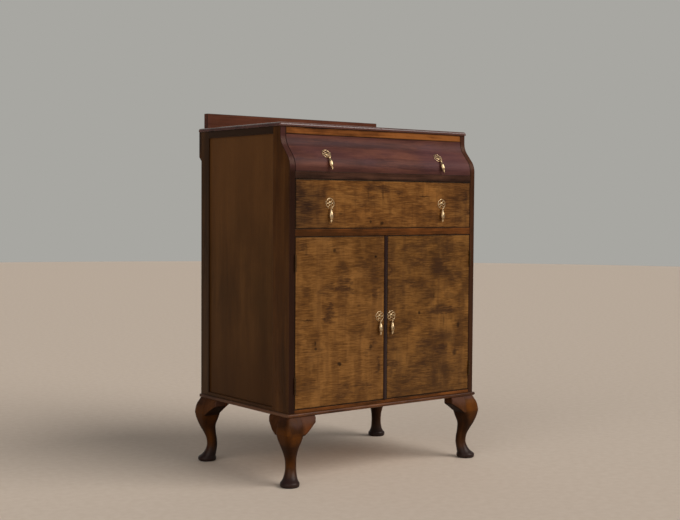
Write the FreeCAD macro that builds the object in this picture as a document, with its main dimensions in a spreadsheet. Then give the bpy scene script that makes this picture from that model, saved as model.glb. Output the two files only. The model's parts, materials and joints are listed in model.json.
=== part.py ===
import FreeCAD, Part
import math
import operator
import os
import types

import Sketcher

# Tallboy: a carcass of framed sides on cabriole legs, an ogee drawer, a flat drawer and two doors.
# +Z is up, the front faces -Y, and the origin is on the floor under the middle of the case.

DOC = FreeCAD.newDocument("Tallboy")
SHEET = DOC.addObject("Spreadsheet::Sheet", "Sizes")

# Driving dimensions in millimetres and degrees: name, number, what it measures.
DRIVING_SIZES = [
    ("case_width", 762.0, "outside of the side frames"),
    ("case_depth", 502.0, "front edges of the sides to their rear edges"),
    ("leg_height", 212.0, "floor to the underside of the base frame"),
    ("leg_stock", 50.0, "square stock that a leg is cut from"),
    ("base_thick", 11.0, "base frame rails"),
    ("base_overhang", 6.0, "base frame nose beyond the case"),
    ("base_rail_width", 58.0, "base frame rails in plan"),
    ("base_nose_radius", 4.5, "rounding of the base frame's nose"),
    ("base_rail_height", 11.0, "rail under the doors and cupboard floor"),
    ("door_opening", 522.0, "height of the cupboard opening"),
    ("lower_rail_thick", 23.0, "rail between doors and lower drawer"),
    ("lower_drawer_opening", 150.5, "height"),
    ("upper_rail_thick", 22.5, "rail between the drawers"),
    ("upper_drawer_opening", 113.5, "height"),
    ("frieze_height", 22.5, "rail under the top"),
    ("top_thick", 12.0, "top board"),
    ("top_side_overhang", 4.0, "top board beyond the sides"),
    ("top_front_overhang", 4.0, "top board beyond the frieze rail"),
    ("top_edge_radius", 8.0, "rounded upper edge of the top board"),
    ("top_corner_radius", 5.0, "front corners of the top board in plan"),
    ("upstand_height", 50.0, "board along the back of the top"),
    ("upstand_thick", 20.0, "board along the back of the top"),
    ("upstand_inset", 19.0, "ends of the upstand inside the case ends"),
    ("back_rail_height", 95.0, "rail across the back under the top"),
    ("back_rail_thick", 13.0, "rail across the back under the top"),
    ("stile_thick", 20.0, "thickness of the side frames"),
    ("front_stile_depth", 88.0, "front stiles, front to back"),
    ("rear_stile_depth", 47.0, "rear stiles, front to back"),
    ("side_top_rail_height", 22.0, "top rails of the side frames"),
    ("side_bottom_rail_height", 11.0, "bottom rails of the side frames"),
    ("panel_thick", 6.0, "side panels"),
    ("panel_recess", 5.0, "side panels behind the frame's face"),
    ("groove_depth", 6.0, "grooves that hold the thin panels"),
    ("back_thick", 5.0, "back panel"),
    ("back_rebate", 10.0, "rebate in the rear stiles for the back panel"),
    ("rail_depth", 60.0, "drawer rails, front to back"),
    ("front_rail_thick", 20.0, "frieze and base rails, front to back"),
    ("runner_width", 20.0, "drawer runners and kickers"),
    ("dust_thick", 5.0, "dust board over the cupboard"),
    ("dust_drop", 9.0, "dust board below the top of its rail"),
    ("stop_height", 6.0, "drawer stops"),
    ("stop_length", 12.0, "drawer stops, front to back"),
    ("stop_width", 30.0, "drawer stops"),
    ("stop_spread", 200.0, "drawer stops from the middle"),
    ("door_stop_height", 12.0, "block behind the top of the doors"),
    ("door_stop_width", 70.0, "block behind the top of the doors"),
    ("shelf_height", 255.0, "top of the shelf above the cupboard floor"),
    ("shelf_thick", 12.0, "shelf"),
    ("shelf_setback", 42.0, "front edge of the shelf behind the front"),
    ("bearer_size", 16.0, "shelf bearers"),
    ("ogee_recess", 50.0, "top of the ogee behind its foot"),
    ("ogee_foot", 11.0, "straight part under the ogee"),
    ("ogee_rise", 100.0, "height of the ogee"),
    ("ogee_slope_angle", 40.7, "steepest part of the ogee from upright, in degrees"),
    ("drawer_gap", 0.8, "around the drawer fronts"),
    ("running_gap", 0.3, "between sliding and resting faces"),
    ("drawer_front_thick", 22.0, "drawer fronts"),
    ("drawer_side_thick", 10.0, "drawer sides and backs"),
    ("drawer_back_gap", 27.0, "behind the drawer sides, to the back panel"),
    ("drawer_headroom", 9.0, "drawer sides below the top of the opening"),
    ("drawer_bottom_thick", 4.5, "drawer bottoms"),
    ("drawer_bottom_lift", 10.0, "drawer bottoms above the rail"),
    ("bottom_groove", 5.0, "grooves for the drawer bottoms"),
    ("door_thick", 20.0, "doors"),
    ("door_gap", 0.8, "around the doors"),
    ("bead_width", 12.0, "meeting bead"),
    ("bead_edge", 1.8, "edge of the meeting bead"),
    ("bead_proud", 4.0, "meeting bead in front of the door"),
    ("hinge_height", 50.0, "butt hinges"),
    ("hinge_leaf_width", 15.0, "leaf behind the front face"),
    ("hinge_leaf_thick", 1.2, "leaf"),
    ("hinge_knuckle_radius", 3.0, "knuckle"),
    ("hinge_stand", 3.2, "pin axis in front of the face"),
    ("hinge_pin_radius", 1.2, "pin"),
    ("hinge_pin_clearance", 0.06, "between pin and knuckle"),
    ("upper_hinge_drop", 55.0, "top of the upper hinge below the opening's top"),
    ("lower_hinge_lift", 48.0, "bottom of the lower hinge above the opening's bottom"),
    ("drawer_handle_spread", 230.5, "drawer handles from the middle"),
    ("lower_handle_height", 77.5, "lower drawer's handles above its rail"),
    ("upper_handle_rise", 43.5, "upper drawer's handles above the foot of the ogee"),
    ("left_handle_offset", 30.5, "left door's handle from the middle"),
    ("right_handle_offset", 18.0, "right door's handle from the middle"),
    ("door_handle_height", 266.5, "door handles above the base rail"),
    ("rosette_radius", 16.5, "handle plate"),
    ("rosette_rim", 2.4, "rim of the handle plate"),
    ("rosette_thick", 2.2, "handle plate"),
    ("rosette_boss", 5.5, "middle of the handle plate, radius"),
    ("rosette_spoke", 2.0, "bars of the pierced plate"),
    ("lug_thick", 1.4, "ears that hold the drop's pin"),
    ("lug_height", 5.0, "ears that hold the drop's pin"),
    ("pivot_out", 7.0, "drop's pin in front of the face"),
    ("pivot_drop", 15.0, "drop's pin below the middle of the plate"),
    ("pivot_pin_radius", 0.9, "drop's pin"),
    ("pivot_clearance", 0.06, "between the drop's eye and its pin"),
    ("drop_length", 45.0, "pin to the tip of the drop"),
    ("upper_drop_hang_angle", 23.0, "upper drawer's drops from upright where they rest, in degrees"),
    ("drop_radius", 6.4, "widest part of the drop"),
    ("tab_width", 2.6, "flat eye of the drop"),
    ("tab_radius", 2.3, "flat eye of the drop"),
    ("tab_side_gap", 0.3, "beside the eye of the drop"),
    ("bolt_radius", 2.1, "handle bolts"),
    ("bolt_head_radius", 3.8, "handle bolts"),
    ("bolt_head_height", 2.2, "handle bolts"),
    ("bolt_clearance", 0.2, "bolts in their holes"),
    ("nut_radius", 4.4, "nuts across corners, half"),
    ("nut_height", 3.4, "nuts"),
    ("ogee_nut_stand", 1.0, "nuts clear of the hollow behind the ogee front"),
    ("knee_block_length", 48.5, "knee blocks along the base frame"),
    ("knee_block_height", 56.0, "knee blocks beside the leg"),
    ("knee_block_tip", 22.0, "height of the knee blocks' far ends"),
    ("knee_block_radius", 600.0, "slight hollow under the knee blocks"),
    ("knee_block_back", 34.0, "knee blocks behind the case's face"),
    ("knee_block_front", 16.5, "knee blocks before the case's face, low beside the leg"),
    ("knee_block_top_front", 1.5, "knee blocks before the case's face, at the top"),
    ("knee_block_tip_front", 5.0, "knee blocks before the case's face, at their far ends"),
    ("knee_block_swell_radius", 90.0, "rounding of the knee blocks' faces from top to bottom"),
    ("knee_block_gap", 0.25, "between a leg and its knee blocks"),
    ("overrun", 5.0, "cutters beyond what they cut"),
]

# A leg from the top down: height as a share of leg_height; inset of the section's middle from both
# case faces and half its width as shares of leg_stock; roundness power (2 is a circle).
LEG_SECTION_SHARES = [
    (1.000, 0.480, 0.520, 10),
    (0.950, 0.430, 0.568, 9),
    (0.887, 0.365, 0.630, 8),
    (0.780, 0.315, 0.668, 7),
    (0.735, 0.308, 0.653, 6),
    (0.665, 0.303, 0.595, 4.8),
    (0.557, 0.318, 0.478, 3.1),
    (0.429, 0.443, 0.378, 2.2),
    (0.345, 0.513, 0.348, 2),
    (0.260, 0.533, 0.343, 2),
    (0.198, 0.500, 0.365, 2),
    (0.142, 0.440, 0.410, 2),
    (0.104, 0.380, 0.470, 2),
    (0.080, 0.322, 0.532, 2),
    (0.060, 0.300, 0.590, 2),
    (0.033, 0.297, 0.600, 2),
    (0.012, 0.297, 0.578, 2),
    (0.000, 0.297, 0.515, 2),
]
LEG_SECTION_POINTS = 24

# Half outline of a drop under its eye: radius as a share of drop_radius, depth as a share of
# drop_length; then the radius of each of its two round stretches as a share of drop_length.
DROP_OUTLINE_SHARES = [
    (0.24, 0.05),
    (0.26, 0.18),
    (1.00, 0.56),
    (0.42, 0.80),
    (0.58, 0.84),
    (0.36, 0.88),
    (0.40, 0.93),
    (0.20, 1.00),
]
DROP_SHOULDER_SHARE = 0.66
DROP_BELLY_SHARE = 0.26

SPOKE_COUNT = 4
UPRIGHT_ANGLE = 90
HALF_TURN_ANGLE = 180
KNUCKLE_COUNT = 5
KNUCKLE_SPACE_SHARE = 0.03
LOWER_DRAWER_BACK_SHARE = 0.85

OPERATIONS = {"+": operator.add, "-": operator.sub, "*": operator.mul, "/": operator.truediv}


class Size:
    """A number together with the formula, in the sheet's names, that gives it."""

    def __init__(self, formula, number):
        self.formula = formula
        self.number = number

    def __add__(self, other):
        return combined(self, "+", other)

    def __radd__(self, other):
        return combined(other, "+", self)

    def __sub__(self, other):
        return combined(self, "-", other)

    def __rsub__(self, other):
        return combined(other, "-", self)

    def __mul__(self, other):
        return combined(self, "*", other)

    def __rmul__(self, other):
        return combined(other, "*", self)

    def __truediv__(self, other):
        return combined(self, "/", other)

    def __neg__(self):
        return combined(0, "-", self)


def as_size(value):
    """A plain number as a Size."""
    if isinstance(value, Size):
        return value
    return Size("(%r)" % float(value), float(value))


def combined(first, sign, second):
    """Two sizes joined by an arithmetic sign."""
    first, second = as_size(first), as_size(second)
    number = OPERATIONS[sign](first.number, second.number)
    return Size("(%s %s %s)" % (first.formula, sign, second.formula), number)


def sine(angle):
    """Sine of an angle held in degrees."""
    return Size("sin(%s * 1 deg)" % angle.formula, math.sin(math.radians(angle.number)))


def root(value):
    """Square root."""
    return Size("sqrt(%s)" % value.formula, math.sqrt(value.number))


def cosine(angle):
    """Cosine of an angle held in degrees."""
    return Size("cos(%s * 1 deg)" % angle.formula, math.cos(math.radians(angle.number)))


def fill_sheet():
    """Write the driving dimensions to the sheet and return them as sizes by name."""
    for row, (name, number, meaning) in enumerate(DRIVING_SIZES, start=1):
        SHEET.set("A%d" % row, name)
        SHEET.set("B%d" % row, str(number))
        SHEET.set("C%d" % row, meaning)
        SHEET.setAlias("B%d" % row, name)
    DOC.recompute()
    return types.SimpleNamespace(**{
        name: Size("Sizes." + name, float(SHEET.get(name))) for name, _, _ in DRIVING_SIZES
    })


S = fill_sheet()
PARTS = {}


# Building blocks

def bind(thing, path, value):
    """Tie one property of a document object to the sheet."""
    thing.setExpression(path, as_size(value).formula)


def place(thing, x, y, z):
    """Tie an object's position to the sheet."""
    for axis, value in (("x", x), ("y", y), ("z", z)):
        bind(thing, "Placement.Base." + axis, value)


def turn_about_x(thing, angle):
    """Turn an object about X by an angle that is tied to the sheet."""
    thing.Placement.Rotation = FreeCAD.Rotation(FreeCAD.Vector(1, 0, 0), as_size(angle).number)
    bind(thing, "Placement.Rotation.Angle", angle)


def keep(label, thing):
    """Name an object as a finished sub-part."""
    thing.Label = label
    PARTS[label] = thing
    return thing


def board(name, x_span, y_span, z_span):
    """A straight board between two planes along each axis."""
    box = DOC.addObject("Part::Box", name)
    for edge, axis, (low, high) in zip(("Length", "Width", "Height"), "xyz", (x_span, y_span, z_span)):
        bind(box, edge, high - low)
        bind(box, "Placement.Base." + axis, low)
    return box


def rod(name, radius, height, x, y, z, along="z"):
    """A round rod that starts at a point and runs along an axis."""
    cylinder = DOC.addObject("Part::Cylinder", name)
    bind(cylinder, "Radius", radius)
    bind(cylinder, "Height", height)
    axis = {"x": FreeCAD.Vector(1, 0, 0), "y": FreeCAD.Vector(0, 1, 0), "z": FreeCAD.Vector(0, 0, 1)}[along]
    cylinder.Placement.Rotation = FreeCAD.Rotation(FreeCAD.Vector(0, 0, 1), axis)
    place(cylinder, x, y, z)
    return cylinder


def cut(name, base, *tools):
    """A piece with other pieces' space cut out of it."""
    for tool in tools:
        result = DOC.addObject("Part::Cut", name)
        result.Base = base
        result.Tool = tool
        base = result
    return base


def fused(name, *pieces):
    """Several blocks as one solid."""
    result = DOC.addObject("Part::MultiFuse", name)
    result.Shapes = list(pieces)
    return result


def grouped(name, *pieces):
    """Separate solids in one sub-part."""
    result = DOC.addObject("Part::Compound", name)
    result.Links = list(pieces)
    return result


def span(side, near, far):
    """Low and high X of something that lies from near to far on one side of the middle."""
    if side == "right":
        return near, far
    return -far, -near


def arc_between(start, end, radius, turn):
    """Round stretch from start to end; turn is 1 anticlockwise and -1 clockwise."""
    middle = (start + end) * 0.5
    chord = end - start
    rise = math.sqrt(max(radius * radius - chord.Length * chord.Length / 4, 0))
    left = FreeCAD.Vector(-chord.y, chord.x, 0).normalize()
    centre = middle + left * (rise * turn)
    first, last = (start, end) if turn > 0 else (end, start)
    angles = [math.atan2(point.y - centre.y, point.x - centre.x) for point in (first, last)]
    if angles[1] < angles[0]:
        angles[1] += 2 * math.pi
    return Part.ArcOfCircle(Part.Circle(centre, FreeCAD.Vector(0, 0, 1), radius), *angles)


def hold_point(sketch, geometry, end, x, y):
    """Hold one end of a sketch line at a place that is tied to the sheet."""
    for kind, axis_line, value in (("DistanceX", -2, as_size(x)), ("DistanceY", -1, as_size(y))):
        if value.number == 0:
            sketch.addConstraint(Sketcher.Constraint("PointOnObject", geometry, end, axis_line))
        else:
            index = sketch.addConstraint(Sketcher.Constraint(kind, -1, 1, geometry, end, value.number))
            bind(sketch, "Constraints[%d]" % index, value)


def outline(body, role, corners, arcs=None):
    """Closed sketch on one of a body's planes; arcs maps a corner's index to (radius, turn)."""
    arcs = arcs or {}
    sketch = body.newObject("Sketcher::SketchObject", body.Name + "_outline")
    plane = [feature for feature in body.Origin.OriginFeatures if feature.Role == role][0]
    sketch.AttachmentSupport = [(plane, "")]
    sketch.MapMode = "FlatFace"
    points = [FreeCAD.Vector(as_size(x).number, as_size(y).number, 0) for x, y in corners]
    ends = []
    for index, start in enumerate(points):
        finish = points[(index + 1) % len(points)]
        if index in arcs:
            radius, turn = arcs[index]
            geometry = sketch.addGeometry(arc_between(start, finish, as_size(radius).number, turn))
            ends.append((geometry, 1, 2) if turn > 0 else (geometry, 2, 1))
        else:
            geometry = sketch.addGeometry(Part.LineSegment(start, finish))
            ends.append((geometry, 1, 2))
    for index, (geometry, first, last) in enumerate(ends):
        following, following_first, _ = ends[(index + 1) % len(ends)]
        sketch.addConstraint(Sketcher.Constraint("Coincident", geometry, last, following, following_first))
    for (geometry, first, _), (x, y) in zip(ends, corners):
        hold_point(sketch, geometry, first, x, y)
    for index, (radius, _) in arcs.items():
        constraint = sketch.addConstraint(
            Sketcher.Constraint("Radius", ends[index][0], as_size(radius).number))
        bind(sketch, "Constraints[%d]" % constraint, radius)
    return sketch


def padded_outline(name, role, corners, depth, arcs=None):
    """A body made by giving depth to an outline on one of its planes."""
    body = DOC.addObject("PartDesign::Body", name)
    sketch = outline(body, role, corners, arcs)
    pad = body.newObject("PartDesign::Pad", name + "_pad")
    pad.Profile = sketch
    bind(pad, "Length", depth)
    return body


def round_edges(body, radius, wanted):
    """Round the edges of a body's last feature for which wanted(edge) holds."""
    DOC.recompute()
    base = body.Tip
    names = ["Edge%d" % number for number, edge in enumerate(base.Shape.Edges, start=1) if wanted(edge)]
    fillet = body.newObject("PartDesign::Fillet", body.Name + "_round")
    fillet.Base = (base, names)
    bind(fillet, "Radius", radius)
    return body


# Places that several pieces share

half = S.case_width / 2
inner = half - S.stile_thick
front = -S.case_depth / 2
rear = S.case_depth / 2
back_face = rear - S.back_thick
z_case = S.leg_height + S.base_thick
z_floor = z_case + S.base_rail_height
z_lower_rail = z_floor + S.door_opening
z_lower_drawer = z_lower_rail + S.lower_rail_thick
z_upper_rail = z_lower_drawer + S.lower_drawer_opening
z_upper_drawer = z_upper_rail + S.upper_rail_thick
z_frieze = z_upper_drawer + S.upper_drawer_opening
z_top = z_frieze + S.frieze_height
z_board = z_top + S.top_thick
z_ogee = z_upper_drawer + S.ogee_foot
frieze_face = front + S.ogee_recess
ogee_radius = (S.ogee_rise * sine(S.ogee_slope_angle) - S.ogee_recess * cosine(S.ogee_slope_angle)) / (
    2 - 2 * cosine(S.ogee_slope_angle))
ogee_run = ogee_radius - ogee_radius * cosine(S.ogee_slope_angle)
ogee_lift = ogee_radius * sine(S.ogee_slope_angle)
SIDES = ("left", "right")


def ogee_corners(foot_y):
    """The ogee from its foot to its top: round out, straight, round in."""
    return [
        (foot_y, z_ogee),
        (foot_y + ogee_run, z_ogee + ogee_lift),
        (foot_y + S.ogee_recess - ogee_run, z_ogee + S.ogee_rise - ogee_lift),
        (foot_y + S.ogee_recess, z_ogee + S.ogee_rise),
    ]


# Top and back

def make_top():
    """Top board with its moulded edge, the upstand on it and the rail behind the case."""
    reach = half + S.top_side_overhang
    lip = frieze_face - S.top_front_overhang
    tail = rear + S.back_rail_thick
    top = padded_outline(
        "top_board", "XY_Plane", [(-reach, lip), (reach, lip), (reach, tail), (-reach, tail)], S.top_thick)
    place(top, 0, 0, z_top)
    round_edges(top, S.top_corner_radius, lambda edge: (
        edge.BoundBox.ZLength > S.top_thick.number / 2 and edge.CenterOfMass.y < 0))
    round_edges(top, S.top_edge_radius, lambda edge: (
        edge.BoundBox.ZMin > S.top_thick.number / 2
        and edge.CenterOfMass.y < tail.number - S.top_thick.number))
    keep("top_board", top)
    upstand_reach = half - S.upstand_inset
    keep("upstand", board("upstand", (-upstand_reach, upstand_reach), (tail - S.upstand_thick, tail),
                          (z_board, z_board + S.upstand_height)))
    rail_low = z_top - S.back_rail_height
    rail = padded_outline("back_top_rail", "YZ_Plane", [
        (rear, rail_low),
        (tail, rail_low + S.back_rail_thick),
        (tail, z_top),
        (rear, z_top),
    ], S.case_width)
    place(rail, -half, 0, 0)
    keep("back_top_rail", rail)


# Hinges

hinge_axis_x = inner - S.door_gap / 2
hinge_axis_y = front - S.hinge_stand
hinge_lows = (
    z_floor + S.lower_hinge_lift,
    z_lower_rail - S.upper_hinge_drop - S.hinge_height,
)
knuckle_space = S.hinge_height * KNUCKLE_SPACE_SHARE
knuckle_height = (S.hinge_height - knuckle_space * (KNUCKLE_COUNT - 1)) / KNUCKLE_COUNT


def leaf_span(side, fixed):
    """Low and high X of a leaf: beside the gap, on the stile's side or the door's."""
    near_gap = S.door_gap / 2
    if fixed:
        return span(side, hinge_axis_x + near_gap, hinge_axis_x + near_gap + S.hinge_leaf_thick)
    return span(side, hinge_axis_x - near_gap - S.hinge_leaf_thick, hinge_axis_x - near_gap)


def leaf_plate(name, side, fixed, low):
    """The flat of one leaf, let in flush with the door's edge or the stile."""
    return board(name, leaf_span(side, fixed), (front, front + S.hinge_leaf_width),
                 (low, low + S.hinge_height))


def hinge_leaf(name, side, fixed, low, plate):
    """One leaf with its knuckles, bored for the pin."""
    axis_x = hinge_axis_x if side == "right" else -hinge_axis_x
    pieces = [plate]
    for number in range(0 if fixed else 1, KNUCKLE_COUNT, 2):
        knuckle_low = low + (knuckle_height + knuckle_space) * number
        knuckle_span = (knuckle_low, knuckle_low + knuckle_height)
        pieces.append(rod(name + "_knuckle", S.hinge_knuckle_radius, knuckle_height,
                          axis_x, hinge_axis_y, knuckle_low))
        pieces.append(board(name + "_wrap", leaf_span(side, fixed), (hinge_axis_y, front), knuckle_span))
    bore = rod(name + "_bore", S.hinge_pin_radius + S.hinge_pin_clearance, S.hinge_height + 2 * S.overrun,
               axis_x, hinge_axis_y, low - S.overrun)
    return cut(name, fused(name + "_block", *pieces), bore)


def make_hinges():
    """All four hinges; returns the leaf plates by side and whether they are the fixed ones."""
    plates = {}
    leaves = {}
    pins = []
    for side in SIDES:
        axis_x = hinge_axis_x if side == "right" else -hinge_axis_x
        for fixed in (True, False):
            kind = "fixed" if fixed else "door"
            for low in hinge_lows:
                plate = leaf_plate("%s_%s_plate" % (side, kind), side, fixed, low)
                plates.setdefault((side, fixed), []).append(plate)
                leaf = hinge_leaf("%s_%s_leaf" % (side, kind), side, fixed, low, plate)
                leaves.setdefault((side, fixed), []).append(leaf)
        for low in hinge_lows:
            pins.append(rod("%s_pin" % side, S.hinge_pin_radius, S.hinge_height, axis_x, hinge_axis_y, low))
    keep("hinge_fixed_leaves", grouped("fixed_leaves", *(leaves["left", True] + leaves["right", True])))
    keep("left_door_hinge_leaves", grouped("left_door_leaves", *leaves["left", False]))
    keep("right_door_hinge_leaves", grouped("right_door_leaves", *leaves["right", False]))
    keep("hinge_pins", grouped("pins", *pins))
    return plates


# Sides, back and rails

def make_sides(plates, back_panel):
    """Two side frames, each with a front stile cut to the ogee, and their recessed panels."""
    rails = []
    stile_back = front + S.front_stile_depth
    rear_stile_face = rear - S.rear_stile_depth
    low_rail_top = z_case + S.side_bottom_rail_height
    high_rail_low = z_top - S.side_top_rail_height
    for side in SIDES:
        x_low, x_high = span(side, inner, half)
        panel = board(side + "_side_panel",
                      span(side, half - S.panel_recess - S.panel_thick, half - S.panel_recess),
                      (stile_back - S.groove_depth, rear_stile_face + S.groove_depth),
                      (low_rail_top - S.groove_depth, high_rail_low + S.groove_depth))
        keep(side + "_side_panel", panel)
        corners = [(front, z_case)] + ogee_corners(front) + [
            (frieze_face, z_top), (stile_back, z_top), (stile_back, z_case)]
        blank = padded_outline(side + "_front_blank", "YZ_Plane", corners, S.stile_thick,
                               {1: (ogee_radius, -1), 3: (ogee_radius, 1)})
        place(blank, x_low, 0, 0)
        keep(side + "_front_stile", cut(side + "_front_stile", blank, panel, *plates[side, True]))
        rear_blank = board(side + "_rear_blank", (x_low, x_high), (rear_stile_face, rear), (z_case, z_top))
        keep(side + "_rear_stile", cut(side + "_rear_stile", rear_blank, panel, back_panel))
        for z_span in ((z_case, low_rail_top), (high_rail_low, z_top)):
            blank = board(side + "_rail_blank", (x_low, x_high), (stile_back, rear_stile_face), z_span)
            rails.append(cut(side + "_rail", blank, panel))
    keep("side_rails", grouped("side_rail_set", *rails))


def make_rails(dust_board):
    """Rails across the front, from the frieze down to the base."""
    across = (-inner, inner)
    rail_span = (front, front + S.rail_depth)
    keep("frieze_rail", board("frieze_rail", across, (frieze_face, frieze_face + S.front_rail_thick),
                              (z_frieze, z_top)))
    keep("upper_drawer_rail", board("upper_drawer_rail", across, rail_span, (z_upper_rail, z_upper_drawer)))
    lower_blank = board("lower_rail_blank", across, rail_span, (z_lower_rail, z_lower_drawer))
    keep("lower_drawer_rail", cut("lower_drawer_rail", lower_blank, dust_board))
    keep("base_rail", board("base_rail", across, (front, front + S.front_rail_thick), (z_case, z_floor)))


def make_inside(dust_board):
    """Runners, kickers and stops for the drawers, and the cupboard's floor, shelf and door stop."""
    runners = []
    kickers = []
    stops = []
    bearers = []
    behind_rail = (front + S.rail_depth, back_face)
    shelf_top = z_floor + S.shelf_height
    shelf_low = shelf_top - S.shelf_thick
    for side in SIDES:
        x_span = span(side, inner - S.runner_width, inner)
        blank = board("lower_runner_blank", x_span, behind_rail, (z_lower_rail, z_lower_drawer))
        runners.append(cut("lower_runner", blank, dust_board))
        runners.append(board("upper_runner", x_span, behind_rail, (z_upper_rail, z_upper_drawer)))
        kickers.append(board("kicker", x_span, (frieze_face + S.front_rail_thick, back_face),
                             (z_frieze, z_top)))
        bearers.append(board("bearer", span(side, inner - S.bearer_size, inner),
                             (front + S.front_stile_depth - S.bearer_size, back_face),
                             (shelf_low - S.bearer_size, shelf_low)))
        stop_face = front + S.drawer_front_thick + S.running_gap
        for rail_top in (z_lower_drawer, z_upper_drawer):
            stops.append(board("stop", span(side, S.stop_spread - S.stop_width / 2,
                                            S.stop_spread + S.stop_width / 2),
                               (stop_face, stop_face + S.stop_length), (rail_top, rail_top + S.stop_height)))
    door_back = front + S.door_thick + S.running_gap
    stops.append(board("door_stop", (-S.door_stop_width / 2, S.door_stop_width / 2),
                       (door_back, front + S.rail_depth), (z_lower_rail - S.door_stop_height, z_lower_rail)))
    keep("drawer_runners", grouped("runner_set", *runners))
    keep("drawer_kickers", grouped("kicker_set", *kickers))
    keep("stop_blocks", grouped("stop_set", *stops))
    keep("shelf_bearers", grouped("bearer_set", *bearers))
    keep("shelf", board("shelf", (-inner, inner), (front + S.shelf_setback, back_face),
                        (shelf_low, shelf_top)))
    keep("cupboard_floor", board("cupboard_floor", (-inner, inner), (front + S.front_rail_thick, back_face),
                                 (z_case, z_floor)))


# Base frame and legs

def make_base():
    """Base frame: a front rail mitred to two side rails, all with a rounded nose, and a back rail."""
    reach = half + S.base_overhang
    nose = front - S.base_overhang
    inside = reach - S.base_rail_width
    mitre = nose + S.base_rail_width

    def outer_edge(edge):
        """Long edges of the nose, top and bottom."""
        box = edge.BoundBox
        flat = box.ZLength < S.base_thick.number / 2
        on_nose = box.YMax < front.number
        on_side = min(abs(box.XMin), abs(box.XMax)) > half.number and box.XLength < S.base_overhang.number
        return flat and (on_nose or on_side)

    rail = padded_outline("base_front_rail", "XY_Plane", [
        (-reach, nose), (reach, nose), (inside, mitre), (-inside, mitre)], S.base_thick)
    place(rail, 0, 0, S.leg_height)
    keep("base_front_rail", round_edges(rail, S.base_nose_radius, outer_edge))
    pieces = []
    for sign, turned in ((-1, False), (1, True)):
        corners = [(sign * reach, nose), (sign * inside, mitre), (sign * inside, rear), (sign * reach, rear)]
        if turned:
            corners.reverse()
        piece = padded_outline("base_side", "XY_Plane", corners, S.base_thick)
        place(piece, 0, 0, S.leg_height)
        pieces.append(round_edges(piece, S.base_nose_radius, outer_edge))
    pieces.append(board("base_back", (-inside, inside), (rear - S.base_rail_width, rear),
                        (S.leg_height, z_case)))
    keep("base_frame_rails", grouped("base_rail_set", *pieces))


def leg_section(height_share, inset_share, half_share, power):
    """One level section of the front right leg: a square with its corners more or less rounded."""
    stock = S.leg_stock.number
    middle_x = half.number - inset_share * stock
    middle_y = front.number + inset_share * stock
    points = []
    for index in range(LEG_SECTION_POINTS):
        angle = 2 * math.pi * (index + 0.5) / LEG_SECTION_POINTS
        across, along = math.cos(angle), math.sin(angle)
        reach = half_share * stock / (abs(across) ** power + abs(along) ** power) ** (1 / power)
        points.append(FreeCAD.Vector(middle_x + reach * across, middle_y + reach * along,
                                     height_share * S.leg_height.number))
    curve = Part.BSplineCurve()
    curve.interpolate(points, PeriodicFlag=True)
    return Part.Wire([curve.toShape()])


def make_legs():
    """Four cabriole legs: one lofted shape, mirrored to each corner."""
    sections = [leg_section(*row) for row in reversed(LEG_SECTION_SHARES)]
    leg = Part.makeLoft(sections, True, False)
    origin = FreeCAD.Vector(0, 0, 0)
    across, along = FreeCAD.Vector(1, 0, 0), FreeCAD.Vector(0, 1, 0)
    back_leg = leg.mirror(origin, along)
    for label, shape in (("front_right_leg", leg), ("front_left_leg", leg.mirror(origin, across)),
                         ("rear_right_leg", back_leg), ("rear_left_leg", back_leg.mirror(origin, across))):
        feature = DOC.addObject("Part::Feature", label)
        feature.Shape = shape
        feature.Placement = FreeCAD.Placement()
        keep(label, feature)


def mirrored(name, source, normal):
    """A piece's mirror image across a plane through the middle of the case."""
    image = DOC.addObject("Part::Mirroring", name)
    image.Source = source
    image.Normal = normal
    return image


def knee_block(name, across_front):
    """Knee block of the front right leg: hollowed below, swelling like the leg and tapered in plan."""
    joint = S.leg_stock + S.knee_block_gap
    tip = joint + S.knee_block_length
    top = S.leg_height
    low = top - S.knee_block_height
    tip_low = top - S.knee_block_tip
    reach = S.knee_block_front + S.overrun
    back = S.knee_block_back
    plan = [(joint, -reach), (tip, -S.knee_block_tip_front), (tip, back), (joint, back)]
    if across_front:
        plan_corners = [(half - along, front + inward) for along, inward in plan]
        bracket_corners = [(half - tip, top), (half - tip, tip_low), (half - joint, low), (half - joint, top)]
        swell_corners = [(front + back, top), (front - S.knee_block_top_front, top),
                         (front - S.knee_block_front, low), (front + back, low)]
        bracket_role, swell_role, swell_turn = "XZ_Plane", "YZ_Plane", 1
        bracket_place = (0, front + back, 0)
        swell_place = (half - tip, 0, 0)
    else:
        plan_corners = [(half - inward, front + along) for along, inward in plan]
        bracket_corners = [(front + joint, top), (front + joint, low),
                           (front + tip, tip_low), (front + tip, top)]
        swell_corners = [(half - back, top), (half + S.knee_block_top_front, top),
                         (half + S.knee_block_front, low), (half - back, low)]
        bracket_role, swell_role, swell_turn = "YZ_Plane", "XZ_Plane", -1
        bracket_place = (half - back, 0, 0)
        swell_place = (0, front + tip, 0)
    bracket = padded_outline(name + "_bracket", bracket_role, bracket_corners, reach + back,
                             {1: (S.knee_block_radius, -1)})
    place(bracket, *bracket_place)
    swell = padded_outline(name + "_swell", swell_role, swell_corners, S.knee_block_length,
                           {1: (S.knee_block_swell_radius, swell_turn)})
    place(swell, *swell_place)
    wedge = padded_outline(name + "_wedge", "XY_Plane", plan_corners, S.knee_block_height)
    place(wedge, 0, 0, low)
    block = DOC.addObject("Part::MultiCommon", name)
    block.Shapes = [bracket, swell, wedge]
    return block


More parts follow.
